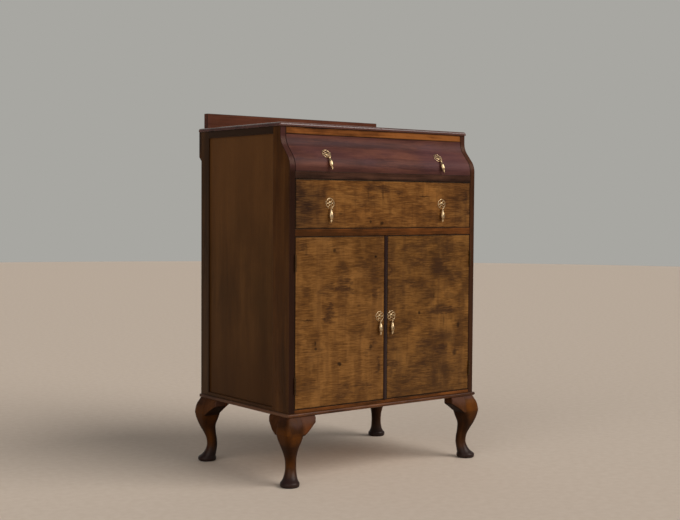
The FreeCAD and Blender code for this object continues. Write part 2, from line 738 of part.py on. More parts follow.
def make_knee_blocks():
    """Two knee blocks to each leg, mirrored from the front right ones."""
    across, along = FreeCAD.Vector(1, 0, 0), FreeCAD.Vector(0, 1, 0)
    right_pair = [knee_block("front_knee_block", True), knee_block("side_knee_block", False)]
    front_set = right_pair + [mirrored("left_knee_block", block, across) for block in right_pair]
    rear_set = [mirrored("rear_knee_block", block, along) for block in front_set]
    keep("front_knee_blocks", grouped("front_knee_set", *front_set))
    keep("rear_knee_blocks", grouped("rear_knee_set", *rear_set))


# Handles, made facing +Z with +Y up and then turned onto their faces

def on_face(thing, x, y, z, lean):
    """Set a handle piece on a face; lean is the face's angle from upright in degrees."""
    turn_about_x(thing, UPRIGHT_ANGLE - as_size(lean))
    place(thing, x, y, z)
    return thing


def rosette(name, x, y, z, lean):
    """Pierced round plate with a boss, bars, two ears below and the pin between them."""
    rim = cut(name + "_rim", rod(name + "_disc", S.rosette_radius, S.rosette_thick, 0, 0, 0),
              rod(name + "_inside", S.rosette_radius - S.rosette_rim, S.rosette_thick + 2 * S.overrun,
                  0, 0, -S.overrun))
    pieces = [rim, rod(name + "_boss", S.rosette_boss, S.rosette_thick, 0, 0, 0)]
    bar_reach = S.rosette_radius - S.rosette_rim / 2
    for number in range(SPOKE_COUNT):
        bar = DOC.addObject("Part::Box", name + "_bar")
        bind(bar, "Length", 2 * bar_reach)
        bind(bar, "Width", S.rosette_spoke)
        bind(bar, "Height", S.rosette_thick)
        turn = HALF_TURN_ANGLE * (number + 0.5) / SPOKE_COUNT
        direction = FreeCAD.Vector(math.cos(math.radians(turn)), math.sin(math.radians(turn)), 0)
        bar.Placement.Rotation = FreeCAD.Rotation(FreeCAD.Vector(0, 0, 1), turn)
        place(bar, S.rosette_spoke / 2 * direction.y - bar_reach * direction.x,
              -S.rosette_spoke / 2 * direction.x - bar_reach * direction.y, 0)
        pieces.append(bar)
    near = S.tab_width / 2 + S.tab_side_gap
    for side in SIDES:
        pieces.append(board(name + "_ear", span(side, near, near + S.lug_thick),
                            (-S.pivot_drop - S.lug_height / 2, -S.pivot_drop + S.lug_height / 2),
                            (0, S.pivot_out + S.lug_height / 2)))
    pieces.append(rod(name + "_pin", S.pivot_pin_radius, 2 * (near + S.lug_thick / 2),
                      -near - S.lug_thick / 2, -S.pivot_drop, S.pivot_out, "x"))
    hole = rod(name + "_hole", S.bolt_radius + S.bolt_clearance, S.rosette_thick + 2 * S.overrun,
               0, 0, -S.overrun)
    return on_face(cut(name, fused(name + "_block", *pieces), hole), x, y, z, lean)


def handle_bolt(name, x, y, z, lean, wall):
    """Domed bolt through the wall, and its nut behind."""
    length = wall + S.nut_height
    shank = rod(name + "_shank", S.bolt_radius, length + S.rosette_thick, 0, 0, -length)
    dome = DOC.addObject("Part::Cone", name + "_dome")
    bind(dome, "Radius1", S.bolt_head_radius)
    bind(dome, "Radius2", S.bolt_head_radius / 2)
    bind(dome, "Height", S.bolt_head_height)
    place(dome, 0, 0, S.rosette_thick)
    bolt = on_face(fused(name + "_bolt", shank, dome), x, y, z, lean)
    blank = DOC.addObject("Part::Prism", name + "_nut_blank")
    blank.Polygon = 6
    bind(blank, "Circumradius", S.nut_radius)
    bind(blank, "Height", S.nut_height)
    place(blank, 0, 0, -length)
    thread = rod(name + "_thread", S.bolt_radius, S.nut_height + 2 * S.overrun, 0, 0, -length - S.overrun)
    nut = on_face(cut(name + "_nut", blank, thread), x, y, z, lean)
    return bolt, nut


def bolt_hole(name, x, y, z, lean, wall):
    """Cutter for a handle bolt's hole through a wall."""
    drill = rod(name + "_drill", S.bolt_radius + S.bolt_clearance, wall + 2 * S.overrun,
                0, 0, -wall - S.overrun)
    return on_face(grouped(name, drill), x, y, z, lean)


def drop(label, x, y, z, lean, hang):
    """Pear-shaped drop on the pin of a rosette that leans; hang is the drop's own angle from upright."""
    body = DOC.addObject("PartDesign::Body", label + "_pear")
    corners = [(share * S.drop_radius, -depth * S.drop_length) for share, depth in DROP_OUTLINE_SHARES]
    top_depth, tip_depth = DROP_OUTLINE_SHARES[0][1], DROP_OUTLINE_SHARES[-1][1]
    corners = [(0, -top_depth * S.drop_length)] + corners + [(0, -tip_depth * S.drop_length)]
    corners.reverse()
    belly, shoulder = len(corners) - 5, len(corners) - 4
    sketch = outline(body, "XY_Plane", corners, {
        belly: (DROP_BELLY_SHARE * S.drop_length, 1),
        shoulder: (DROP_SHOULDER_SHARE * S.drop_length, 1),
    })
    turned = body.newObject("PartDesign::Revolution", label + "_turned")
    turned.Profile = sketch
    turned.ReferenceAxis = (sketch, ["V_Axis"])
    turned.Angle = 360
    eye = rod(label + "_eye", S.tab_radius, S.tab_width, -S.tab_width / 2, 0, 0, "x")
    neck_low = -DROP_OUTLINE_SHARES[1][1] * S.drop_length
    neck_half = DROP_OUTLINE_SHARES[0][0] * S.drop_radius
    neck = board(label + "_neck", (-S.tab_width / 2, S.tab_width / 2), (neck_low, 0),
                 (-neck_half, neck_half))
    bore = rod(label + "_bore", S.pivot_pin_radius + S.pivot_clearance, S.tab_width + 2 * S.overrun,
               -S.tab_width / 2 - S.overrun, 0, 0, "x")
    whole = cut(label + "_drop", fused(label + "_block", body, eye, neck), bore)
    lean = as_size(lean)
    pin_y = y - S.pivot_drop * sine(lean) - S.pivot_out * cosine(lean)
    pin_z = z - S.pivot_drop * cosine(lean) + S.pivot_out * sine(lean)
    keep(label, on_face(whole, x, pin_y, pin_z, hang))


# Drawers

def drawer_box(label, low, front_solid, side_corners, side_arcs, back_height, spots, lean, hang, wall):
    """Sides, back, bottom and handles behind a drawer front."""
    outer = inner - S.drawer_gap
    inside = outer - S.drawer_side_thick
    tail = back_face - S.drawer_back_gap
    bottom_low = low + S.drawer_bottom_lift
    bottom = board(label + "_bottom", (-(inside + S.bottom_groove), inside + S.bottom_groove),
                   (front + S.drawer_front_thick - S.bottom_groove, tail),
                   (bottom_low, bottom_low + S.drawer_bottom_thick))
    keep(label + "_bottom", bottom)
    sides = []
    for side in SIDES:
        blank = padded_outline(label + "_side", "YZ_Plane", side_corners, S.drawer_side_thick, side_arcs)
        place(blank, span(side, inside, outer)[0], 0, 0)
        sides.append(cut(label + "_side_cut", blank, bottom))
    keep(label + "_sides", grouped(label + "_side_set", *sides))
    keep(label + "_back", board(label + "_back", (-inside, inside), (tail - S.drawer_side_thick, tail),
                                (bottom_low + S.drawer_bottom_thick, low + back_height)))
    holes = []
    plates = []
    bolts = []
    for side, (x, y, z) in zip(SIDES, spots):
        name = "%s_%s" % (label, side)
        holes.append(bolt_hole(name + "_hole", x, y, z, lean, wall))
        plates.append(rosette(name + "_rosette", x, y, z, lean))
        bolts.extend(handle_bolt(name, x, y, z, lean, wall))
        drop(name + "_drop", x, y, z, lean, hang)
    keep(label + "_front", cut(label + "_front", front_solid, bottom, *holes))
    keep(label + "_rosettes", grouped(label + "_rosette_set", *plates))
    keep(label + "_handle_bolts", grouped(label + "_bolt_set", *bolts))


def make_upper_drawer():
    """Drawer with the ogee front; its sides are cut to the same curve."""
    low, high = z_upper_drawer + S.running_gap, z_frieze - S.drawer_gap
    side_high = z_frieze - S.drawer_headroom
    back_of_front = front + S.drawer_front_thick
    tail = back_face - S.drawer_back_gap
    arcs = {1: (ogee_radius, -1), 3: (ogee_radius, 1)}
    inside_curve = list(reversed(ogee_corners(back_of_front)))
    corners = [(front, low)] + ogee_corners(front) + [(frieze_face, high)]
    corners += [(frieze_face + S.drawer_front_thick, high)] + inside_curve + [(back_of_front, low)]
    shaped = padded_outline("ogee_front", "YZ_Plane", corners, 2 * (inner - S.drawer_gap),
                            {**arcs, 7: (ogee_radius, -1), 9: (ogee_radius, 1)})
    place(shaped, -(inner - S.drawer_gap), 0, 0)

    # The sides stop on the hollow of the curve, below the top of the front.
    rise_left = z_ogee + S.ogee_rise - side_high
    side_top_y = back_of_front + S.ogee_recess - ogee_radius + root(
        ogee_radius * ogee_radius - rise_left * rise_left)
    side_corners = [(back_of_front, low)] + ogee_corners(back_of_front)[:3] + [
        (side_top_y, side_high), (tail, side_high), (tail, low)]
    rise = S.upper_handle_rise
    handle_y = front + ogee_run + (rise - ogee_lift) * sine(S.ogee_slope_angle) / cosine(S.ogee_slope_angle)
    spots = [(sign * S.drawer_handle_spread, handle_y, z_ogee + rise) for sign in (-1, 1)]
    drawer_box("upper_drawer", low, shaped, side_corners, arcs, side_high - low, spots, S.ogee_slope_angle,
               S.upper_drop_hang_angle,
               S.drawer_front_thick * cosine(S.ogee_slope_angle) + S.ogee_nut_stand)


def make_lower_drawer():
    """Drawer with the flat front."""
    low, high = z_lower_drawer + S.running_gap, z_upper_rail - S.drawer_gap
    side_high = z_upper_rail - S.drawer_headroom
    back_of_front = front + S.drawer_front_thick
    tail = back_face - S.drawer_back_gap
    across = inner - S.drawer_gap
    flat = board("flat_front", (-across, across), (front, back_of_front), (low, high))
    side_corners = [(back_of_front, low), (back_of_front, side_high), (tail, side_high), (tail, low)]
    spots = [(sign * S.drawer_handle_spread, front, z_lower_drawer + S.lower_handle_height)
             for sign in (-1, 1)]
    back_height = (side_high - low) * LOWER_DRAWER_BACK_SHARE
    drawer_box("lower_drawer", low, flat, side_corners, None, back_height, spots, 0, 0, S.drawer_front_thick)


# Doors

def make_doors(plates):
    """Two slab doors; the left one carries the bead that covers the meeting gap's edge."""
    z_span = (z_floor + S.door_gap, z_lower_rail - S.door_gap)
    handle_z = z_floor + S.door_handle_height
    meeting = S.door_gap
    for side, handle_x in (("left", -S.left_handle_offset), ("right", S.right_handle_offset)):
        name = side + "_door"
        hole = bolt_hole(name + "_hole", handle_x, front, handle_z, 0, S.door_thick)
        slab = board(name + "_slab", span(side, meeting, inner - S.door_gap), (front, front + S.door_thick),
                     z_span)
        keep(name, cut(name, slab, hole, *plates[side, False]))
        keep(name + "_rosette", rosette(name + "_rosette", handle_x, front, handle_z, 0))
        keep(name + "_handle_bolt", grouped(
            name + "_bolt_set", *handle_bolt(name, handle_x, front, handle_z, 0, S.door_thick)))
        drop(name + "_drop", handle_x, front, handle_z, 0, 0)
    bead_rise = S.bead_proud - S.bead_edge
    bead_radius = (S.bead_width * S.bead_width / 4 + bead_rise * bead_rise) / (2 * bead_rise)
    edge = front - S.bead_edge
    bead = padded_outline("meeting_bead", "XY_Plane", [
        (-meeting, front), (-meeting - S.bead_width, front),
        (-meeting - S.bead_width, edge), (-meeting, edge),
    ], z_span[1] - z_span[0], {2: (bead_radius, 1)})
    place(bead, 0, 0, z_span[0])
    keep("meeting_bead", bead)


def check_and_write():
    """Stop on any failed object or shape, then write each sub-part to its own file."""
    DOC.recompute()
    failed = [thing.Label for thing in DOC.Objects if {"Invalid", "Error"} & set(thing.State)]
    failed += [label for label, thing in PARTS.items() if thing.Shape.isNull() or not thing.Shape.isValid()]
    if failed:
        raise RuntimeError("failed: " + ", ".join(failed))
    os.makedirs("parts", exist_ok=True)
    for label, thing in PARTS.items():
        thing.Shape.exportStep(os.path.join("parts", label + ".step"))
        print("%-26s %2d solids %12.1f mm3" % (label, len(thing.Shape.Solids), thing.Shape.Volume))


def main():
    """Build the tallboy."""
    make_top()
    back_edge = half - S.stile_thick + S.back_rebate
    back_panel = keep("back_panel", board("back_panel", (-back_edge, back_edge), (back_face, rear),
                                          (z_case, z_top)))
    dust_edge = inner - S.runner_width + S.groove_depth
    dust_high = z_lower_drawer - S.dust_drop
    dust_board = keep("dust_board", board(
        "dust_board", (-dust_edge, dust_edge), (front + S.rail_depth - S.groove_depth, back_face),
        (dust_high - S.dust_thick, dust_high)))
    plates = make_hinges()
    make_sides(plates, back_panel)
    make_rails(dust_board)
    make_inside(dust_board)
    make_base()
    make_legs()
    make_knee_blocks()
    make_upper_drawer()
    make_lower_drawer()
    make_doors(plates)
    check_and_write()


main()
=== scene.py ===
import json
import math

import bmesh
import bpy
from mathutils import Color, Matrix, Vector
from mathutils.geometry import interpolate_bezier


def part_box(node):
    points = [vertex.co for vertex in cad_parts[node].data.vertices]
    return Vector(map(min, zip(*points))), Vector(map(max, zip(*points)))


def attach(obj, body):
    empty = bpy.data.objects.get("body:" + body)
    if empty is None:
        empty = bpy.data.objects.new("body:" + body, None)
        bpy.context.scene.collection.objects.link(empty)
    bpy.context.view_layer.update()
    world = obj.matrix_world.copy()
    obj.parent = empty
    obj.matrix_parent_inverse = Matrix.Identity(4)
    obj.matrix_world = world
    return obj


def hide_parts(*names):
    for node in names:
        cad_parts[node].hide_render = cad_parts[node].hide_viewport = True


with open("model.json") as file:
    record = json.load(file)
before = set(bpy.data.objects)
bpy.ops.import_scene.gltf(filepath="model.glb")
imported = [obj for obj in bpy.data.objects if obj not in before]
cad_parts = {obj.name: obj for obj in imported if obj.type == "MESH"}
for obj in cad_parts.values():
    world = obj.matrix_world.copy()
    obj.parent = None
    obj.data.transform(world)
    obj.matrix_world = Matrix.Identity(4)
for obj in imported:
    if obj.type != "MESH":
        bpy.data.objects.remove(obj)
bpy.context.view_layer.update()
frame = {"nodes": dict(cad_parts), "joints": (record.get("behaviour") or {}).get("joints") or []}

# A tallboy on cabriole legs: framed sides, an ogee drawer over a flat one, two doors, brass drops.
# Metres, +Z up, front to -Y, the same frame as the solids.

MM = 0.001
X, Y, Z = Vector((1, 0, 0)), Vector((0, 1, 0)), Vector((0, 0, 1))
ACROSS, DEEP, UP = 0, 1, 2
QUARTER = math.pi / 2
MERGE = 0.002 * MM
SHARP_ANGLE = math.radians(50)

# A face looks in a direction when its normal has this share of it, and a face that turns down is marked
# for painted shade with its share times this gain.
FACING = 0.9
UNDER_SHADE_GAIN = 2

# Eased edges, and the steps across them.
ARRIS = 0.9 * MM
STILE_EDGE = 1.3 * MM
UPSTAND_EDGE = 1.6 * MM
THIN_EDGE = 0.4 * MM
FINE_EDGE = 0.3 * MM
FRONT_EDGE = 1.5 * MM
ARRIS_STEPS, FINE_STEPS = 3, 2

# What a mesh tells its finish about each face, and how much painted shade each face gets.
ARRIS_LAYER, FRONT_LAYER, UNDER_SHADE_LAYER = "arris", "front", "under"

# What the solids' boxes don't tell.
OGEE_RECESS = 50 * MM
OGEE_FOOT = 11 * MM
OGEE_RISE = 100 * MM
OGEE_SLOPE = math.radians(40.7)
OGEE_RADIUS = (OGEE_RISE * math.sin(OGEE_SLOPE) - OGEE_RECESS * math.cos(OGEE_SLOPE)) / (
    2 - 2 * math.cos(OGEE_SLOPE))
OGEE_RUN = OGEE_RADIUS * (1 - math.cos(OGEE_SLOPE))
OGEE_LIFT = OGEE_RADIUS * math.sin(OGEE_SLOPE)
OGEE_STEPS = 14
OGEE_NUT_STAND = 1 * MM
TOP_CORNER = 5 * MM
TOP_RING_STEPS = 20
TOP_CORNER_LOSS_SHARE = 0.8
TOP_EDGE = 8 * MM
TOP_EDGE_STEPS = 8
BASE_NOSE = 4.5 * MM
NOSE_STEPS = 5
RAIL_CHAMFER = 13 * MM
BEAD_EDGE = 1.8 * MM
BEAD_STEPS = 10

# A leg from the top down: height as a share of its own, inset of its middle and half width as shares
# of the stock, roundness power.
LEG_STOCK = 50 * MM
LEG_SECTION_SHARES = [
    (1.000, 0.480, 0.520, 10),
    (0.950, 0.430, 0.568, 9),
    (0.887, 0.365, 0.630, 8),
    (0.780, 0.315, 0.668, 7),
    (0.735, 0.308, 0.653, 6),
    (0.665, 0.303, 0.595, 4.8),
    (0.557, 0.318, 0.478, 3.1),
    (0.429, 0.443, 0.378, 2.2),
    (0.345, 0.513, 0.348, 2),
    (0.260, 0.533, 0.343, 2),
    (0.198, 0.500, 0.365, 2),
    (0.142, 0.440, 0.410, 2),
    (0.104, 0.380, 0.470, 2),
    (0.080, 0.322, 0.532, 2),
    (0.060, 0.300, 0.590, 2),
    (0.033, 0.297, 0.600, 2),
    (0.012, 0.297, 0.578, 2),
    (0.000, 0.297, 0.515, 2),
]
LEG_ROUND_STEPS = 64
LEG_RINGS_BETWEEN = 4

KNEE_START = 50.25 * MM
KNEE_LENGTH = 48.5 * MM
KNEE_HEIGHT = 56 * MM
KNEE_TIP = 22 * MM
KNEE_HOLLOW = 600 * MM
KNEE_BACK = 34 * MM
KNEE_FRONT = 16.5 * MM
KNEE_TOP_FRONT = 1.5 * MM
KNEE_TIP_FRONT = 5 * MM
KNEE_JOINT_FRONT = 21.5 * MM
KNEE_SWELL = 90 * MM
KNEE_LOWER_ROUND = 4 * MM
KNEE_END_ROUND = 4 * MM
KNEE_STATIONS = 12
KNEE_LAP_STATIONS = 2
KNEE_FACE_STEPS = 8
KNEE_ROUND_STEPS = 5
# How much painted shade a knee block's far end gets.
KNEE_END_SHADE = 0.3

ROSETTE_RADIUS = 16.5 * MM
ROSETTE_THICK = 2.2 * MM
ROSETTE_PETALS = 6
ROSETTE_RIM_WIRE = 0.85 * MM
ROSETTE_RIM_STEPS = 48
PETAL_RADIUS = 4.9 * MM
PETAL_CIRCLE = 10.2 * MM
PETAL_WIRE = 0.7 * MM
PETAL_STEPS = 24
WIRE_STEPS, FINE_WIRE_STEPS = 10, 8
BOSS_RADIUS = 5 * MM
BOSS_STEPS = 28
BOSS_RADIUS_AND_THICK_SHARES = ((0, 1), (0.85, 1), (1, 0.6), (1, 0))
TURNED_STEPS = 24
PIVOT_OUT = 7 * MM
PIVOT_DROP = 15 * MM
PIVOT_PIN = 0.9 * MM
PIN_END = 0.4 * MM
PIN_STEPS = 14
EAR_NEAR = 1.6 * MM
EAR_THICK = 1.4 * MM
EAR_HEIGHT = 5 * MM
EAR_STEPS = 8
EYE_RADIUS = 1.62 * MM
EYE_WIRE = 0.68 * MM
EYE_STEPS = 20
BOLT_HEAD = 3.8 * MM
BOLT_HEAD_HEIGHT = 2.2 * MM
BOLT_DOME_SHARE = 0.6
BOLT_DOME_STEPS = 6
BOLT_SEAT_SHARE = 0.9
BOLT_RADIUS = 2.1 * MM
BOLT_END = 1 * MM
BOLT_STEPS = 16
NUT_RADIUS = 4.4 * MM
NUT_HEIGHT = 3.4 * MM
NUT_SIDES = 6
UPPER_HANG = math.radians(23)

# A drop's outline as radius and depth in millimetres: its straight neck, then curves, each with two
# guides, its end and its steps.
DROP_NECK = ((0, 2.0), (2.2, 2.2), (2.4, 5.5))
DROP_CURVES = [
    ((2.6, 8.0), (3.0, 8.8), (3.5, 10.5), 4),
    ((4.9, 14.5), (6.6, 18.0), (6.6, 25.0), 9),
    ((6.6, 30.8), (4.4, 33.4), (3.0, 35.6), 9),
    ((3.0, 36.0), (3.8, 36.5), (3.8, 37.3), 4),
    ((3.8, 38.1), (3.0, 38.7), (2.1, 39.0), 4),
    ((2.5, 39.6), (2.7, 40.4), (2.6, 41.2), 4),
    ((2.4, 43.0), (1.2, 44.4), (0, 45.0), 6),
]
DROP_STEPS = 28

HINGE_KNUCKLES = 5
HINGE_SPACE_SHARE = 0.03
KNUCKLE_RADIUS = 3 * MM
LEAF_GAP = 0.4 * MM
LEAF_THICK = 1.2 * MM
LEAF_WIDTH = 15 * MM
LEAF_SETBACK = 3.2 * MM
LEAF_PROUD = 0.12 * MM
LEAF_EDGE = 0.15 * MM
SCREW_HEAD = 2.3 * MM
SCREW_TAPER_SHARE = 0.9
SCREW_THICK = 0.5 * MM
SCREW_SLOT = 0.35 * MM
SCREW_STEPS = 20
SCREW_FIRST_TURN = 0.5

# A leaf's screws, as a share of its height and how far behind its front edge.
SCREW_ROWS = ((0.16, 10 * MM), (0.5, 5 * MM), (0.84, 10 * MM))

NAIL_RADIUS = 2 * MM
NAIL_INSET = 5 * MM
NAIL_TOP_SPACE = 105 * MM
NAIL_ROWS, NAIL_COLUMNS = 8, 7
NAIL_STEPS = 10

# A nail head's outline, across and out, as shares of its radius.
NAIL_PROFILE_SHARES = ((0, 0.35), (0.6, 0.3), (1, 0.15), (1, -0.15))


# Finishes

SCREEN_WHITE = 255


def tint(*screen):
    """A colour given in screen values, as a shader takes it."""
    colour = Color([value / SCREEN_WHITE for value in screen])
    return *colour.from_srgb_to_scene_linear(), 1


class Wire:
    """An output of a node; arithmetic on it adds Math nodes to its tree."""

    def __init__(self, nodes, socket):
        self.nodes = nodes
        self.socket = socket

    def maths(self, operation, *values):
        return self.nodes.node("ShaderNodeMath", {"operation": operation}, dict(enumerate(values)))

    def __add__(self, other):
        return self.maths("ADD", self, other)

    def __radd__(self, other):
        return self.maths("ADD", other, self)

    def __sub__(self, other):
        return self.maths("SUBTRACT", self, other)

    def __rsub__(self, other):
        return self.maths("SUBTRACT", other, self)

    def __mul__(self, other):
        return self.maths("MULTIPLY", self, other)

    def __rmul__(self, other):
        return self.maths("MULTIPLY", other, self)


class Nodes:
    """A tree of shader nodes under construction."""

    def __init__(self, tree):
        self.tree = tree

    def node(self, kind, settings=None, values=None, output=0):
        """Any node: its settings first, then the values or links of its sockets; returns one output."""
        node = self.tree.nodes.new(kind)
        for name, value in (settings or {}).items():
            if name == "stops":
                while len(node.color_ramp.elements) < len(value):
                    node.color_ramp.elements.new(1)
                for element, (place, colour) in zip(node.color_ramp.elements, value):
                    element.position = place
                    element.color = colour
            else:
                setattr(node, name, value)
        self.feed(node, values or {})
        return Wire(self, node.outputs[output])

    def feed(self, node, values):
        for key, value in values.items():
            if isinstance(value, Wire):
                self.tree.links.new(value.socket, node.inputs[key])
            else:
                node.inputs[key].default_value = value

    def place(self):
        return self.node("ShaderNodeTexCoord", output="Object")

    def along(self, axis):
        """One coordinate of the place."""
        return self.node("ShaderNodeSeparateXYZ", None, {0: self.place()}, axis)

    def mapped(self, where, scale=(1, 1, 1), turn=(0, 0, 0), shift=(0, 0, 0)):
        return self.node("ShaderNodeMapping", {"vector_type": "POINT"}, {
            "Vector": where, "Location": shift, "Rotation": [math.radians(angle) for angle in turn],
            "Scale": scale})

    def noise(self, where, scale, detail=2, roughness=0.5, output=0):
        return self.node("ShaderNodeTexNoise", None, {
            "Vector": self.mapped(where, scale), "Scale": 1, "Detail": detail,
            "Roughness": roughness}, output)

    def ease(self, value, low, high, start=0, end=1):
        """A smooth step of a value from low to high."""
        return self.node("ShaderNodeMapRange", {"interpolation_type": "SMOOTHSTEP", "clamp": True}, {
            "Value": value, "From Min": low, "From Max": high, "To Min": start, "To Max": end})

    def ramp(self, value, *stops):
        return self.node("ShaderNodeValToRGB", {"stops": stops}, {0: value})

    def mix(self, share, first, second):
        """A blend of two colours; this node's colour sockets share their names, so they go by number."""
        return self.node("ShaderNodeMix", {"data_type": "RGBA"}, {0: share, 6: first, 7: second}, 2)

    def vector(self, operation, *values, output=0):
        return self.node("ShaderNodeVectorMath", {"operation": operation}, dict(enumerate(values)), output)

    def bump(self, height, strength, distance):
        return self.node("ShaderNodeBump", None, {
            "Height": height, "Strength": strength, "Distance": distance})

    def layer(self, name):
        """A value that the mesh carries face by face."""
        return self.node("ShaderNodeAttribute", {"attribute_name": name}, output="Fac")


class Finish(Nodes):
    """A material under construction."""

    def __init__(self, name, **constants):
        self.material = bpy.data.materials.new(name)
        self.material.use_nodes = True
        super().__init__(self.material.node_tree)
        self.tree.nodes.clear()
        output = self.tree.nodes.new("ShaderNodeOutputMaterial")
        self.shader = self.tree.nodes.new("ShaderNodeBsdfPrincipled")
        self.tree.links.new(self.shader.outputs[0], output.inputs["Surface"])
        self.shine(**constants)

    def shine(self, **values):
        """Set or link the surface shader's own sockets."""
        self.feed(self.shader, {key.replace("_", " "): value for key, value in values.items()})


# Grains are in waves to a metre along X, Y and Z, or along and across the wood.
NOISE_MIDDLE = 0.5
GRAIN_TURNS = {"x": (0, 0, 0), "y": (0, 0, -90), "z": (0, 90, 0)}
DRIFT_GRAIN = (2.2, 7, 7)
BAND_DETAIL, FIBRE_DETAIL, PATCH_DETAIL = 4, 2, 4
DRIFT_DETAIL, PORE_DETAIL = 1, 1
FIGURE_ROUGHNESS = 0.6
PORE_GRAIN = (55, 950, 950)
PORE_EDGE = (0.60, 0.72)
PORE_SHARE = 0.45
ROUGH_SWING = 0.12
FIBRE_RELIEF = 0.5
WOOD_BUMP = (0.15, 0.5 * MM)
WARM_SHEEN = (1, 0.76, 0.52, 1)
COOL_SHEEN = (1, 0.93, 0.97, 1)
FOOT_SHINE = (75 * MM, 35 * MM)
SPOT_RIM, SPOT_CORE = 1.0, 0.3
STAIN_RAGGED, STAIN_GRAIN, STAIN_NOISE = (0.19, 0, 0.07), (13, 13, 38), (5, 0.72)
STAIN_STREAKS = (0.58, 0.45, 0.35, 1)
SHADE_STREAKS = (0.6, 0.42, 0.7, 1)
MARK_RAGGED, MARK_GRAIN, MARK_NOISE = (0.008, 0, 0.008), (90, 90, 90), (2, 0.5)
HEIGHT_WAVER = 0.06
CLOUD_GRAIN, CLOUD_NOISE = (3.4, 5.5, 5.5), (3, 0.55)
TARNISH_GRAIN, TARNISH_NOISE = (70, 70, 70), (4, 0.6)
SPECK_GRAIN = (620, 620, 620)
SPECK_SHARE, HOLLOW_SHARE = 0.3, 1.6
TARNISH_EDGE = (0.46, 0.72)
TARNISH_ROUGH = 0.2
BRASS_BUMP = (0.12, 0.2 * MM)


def spots_mask(finish, where, spots):
    """Soft marks on a front: each is x, z, half width, half height in millimetres and strength."""
    total = 0
    for x, z, wide, tall, strength in spots:
        scale = (1 / (wide * MM), 0, 1 / (tall * MM))
        centred = finish.mapped(where, scale, shift=(-x / wide, 0, -z / tall))
        away = finish.vector("LENGTH", centred, output="Value")
        mark = finish.ease(away, SPOT_RIM, SPOT_CORE, 0, strength)
        total = mark.maths("MAXIMUM", total, mark)
    return total


def ragged_place(finish, reach, grain, noise):
    """The place, moved about by up to half a reach each way."""
    drift = finish.noise(finish.place(), grain, *noise, output="Color")
    centred = finish.mapped(finish.place(), shift=[-length / 2 for length in reach])
    return finish.vector("MULTIPLY_ADD", drift, reach, centred)


# Masks for other colours over a wood; each takes its finish, the wood's figure and its own settings.

def blotches(finish, figure, spots, ragged=STAIN_RAGGED):
    """Stains with ragged edges, stronger in the darker streaks; on the legs and knee blocks, painted light
    and sheen.
    """
    where = ragged_place(finish, ragged, STAIN_GRAIN, STAIN_NOISE)
    return spots_mask(finish, where, spots) * finish.ease(figure, *STAIN_STREAKS)


def shades(finish, figure, spots):
    """Broad soft shading, a little stronger in the darker streaks."""
    return spots_mask(finish, finish.place(), spots) * finish.ease(figure, *SHADE_STREAKS)


def marks(finish, figure, spots):
    """Knots, cracks and dents with nearly clean edges."""
    return spots_mask(finish, ragged_place(finish, MARK_RAGGED, MARK_GRAIN, MARK_NOISE), spots)


def heights(finish, figure, start, end, share):
    """Coming in between two heights in metres, uneven along the grain."""
    return finish.ease(finish.along(UP) + (figure - NOISE_MIDDLE) * HEIGHT_WAVER, start, end, 0, share)


def marked_faces(finish, figure, layer, share):
    """The faces that the mesh marks: those that look forward, or those that look down and in under the case,
    which take painted shade.
    """
    return finish.layer(layer) * share


def front_highlight_band(finish, figure, start, end, share):
    """Painted highlight on the faces that look forward, coming in between two heights in metres."""
    return finish.layer(FRONT_LAYER) * finish.ease(finish.along(UP), start, end, 0, share)


def edge_dirt_and_shade(finish, figure, node, width, share):
    """Dirt and painted shade along the four edges of a front, uneven along them."""
    low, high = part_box(node)
    near = width
    for axis in (ACROSS, UP):
        along = finish.along(axis)
        for inside in (along - low[axis], high[axis] - along):
            near = inside.maths("MINIMUM", near, inside)
    return finish.ease(near + (figure - NOISE_MIDDLE) * width, width, 0, 0, share)


def clouds(finish, figure, start, end, share, grain=CLOUD_GRAIN):
    """Large soft patches, or streaks along the coarse direction of a grain."""
    return finish.ease(finish.noise(finish.place(), grain, *CLOUD_NOISE), start, end, 0, share)


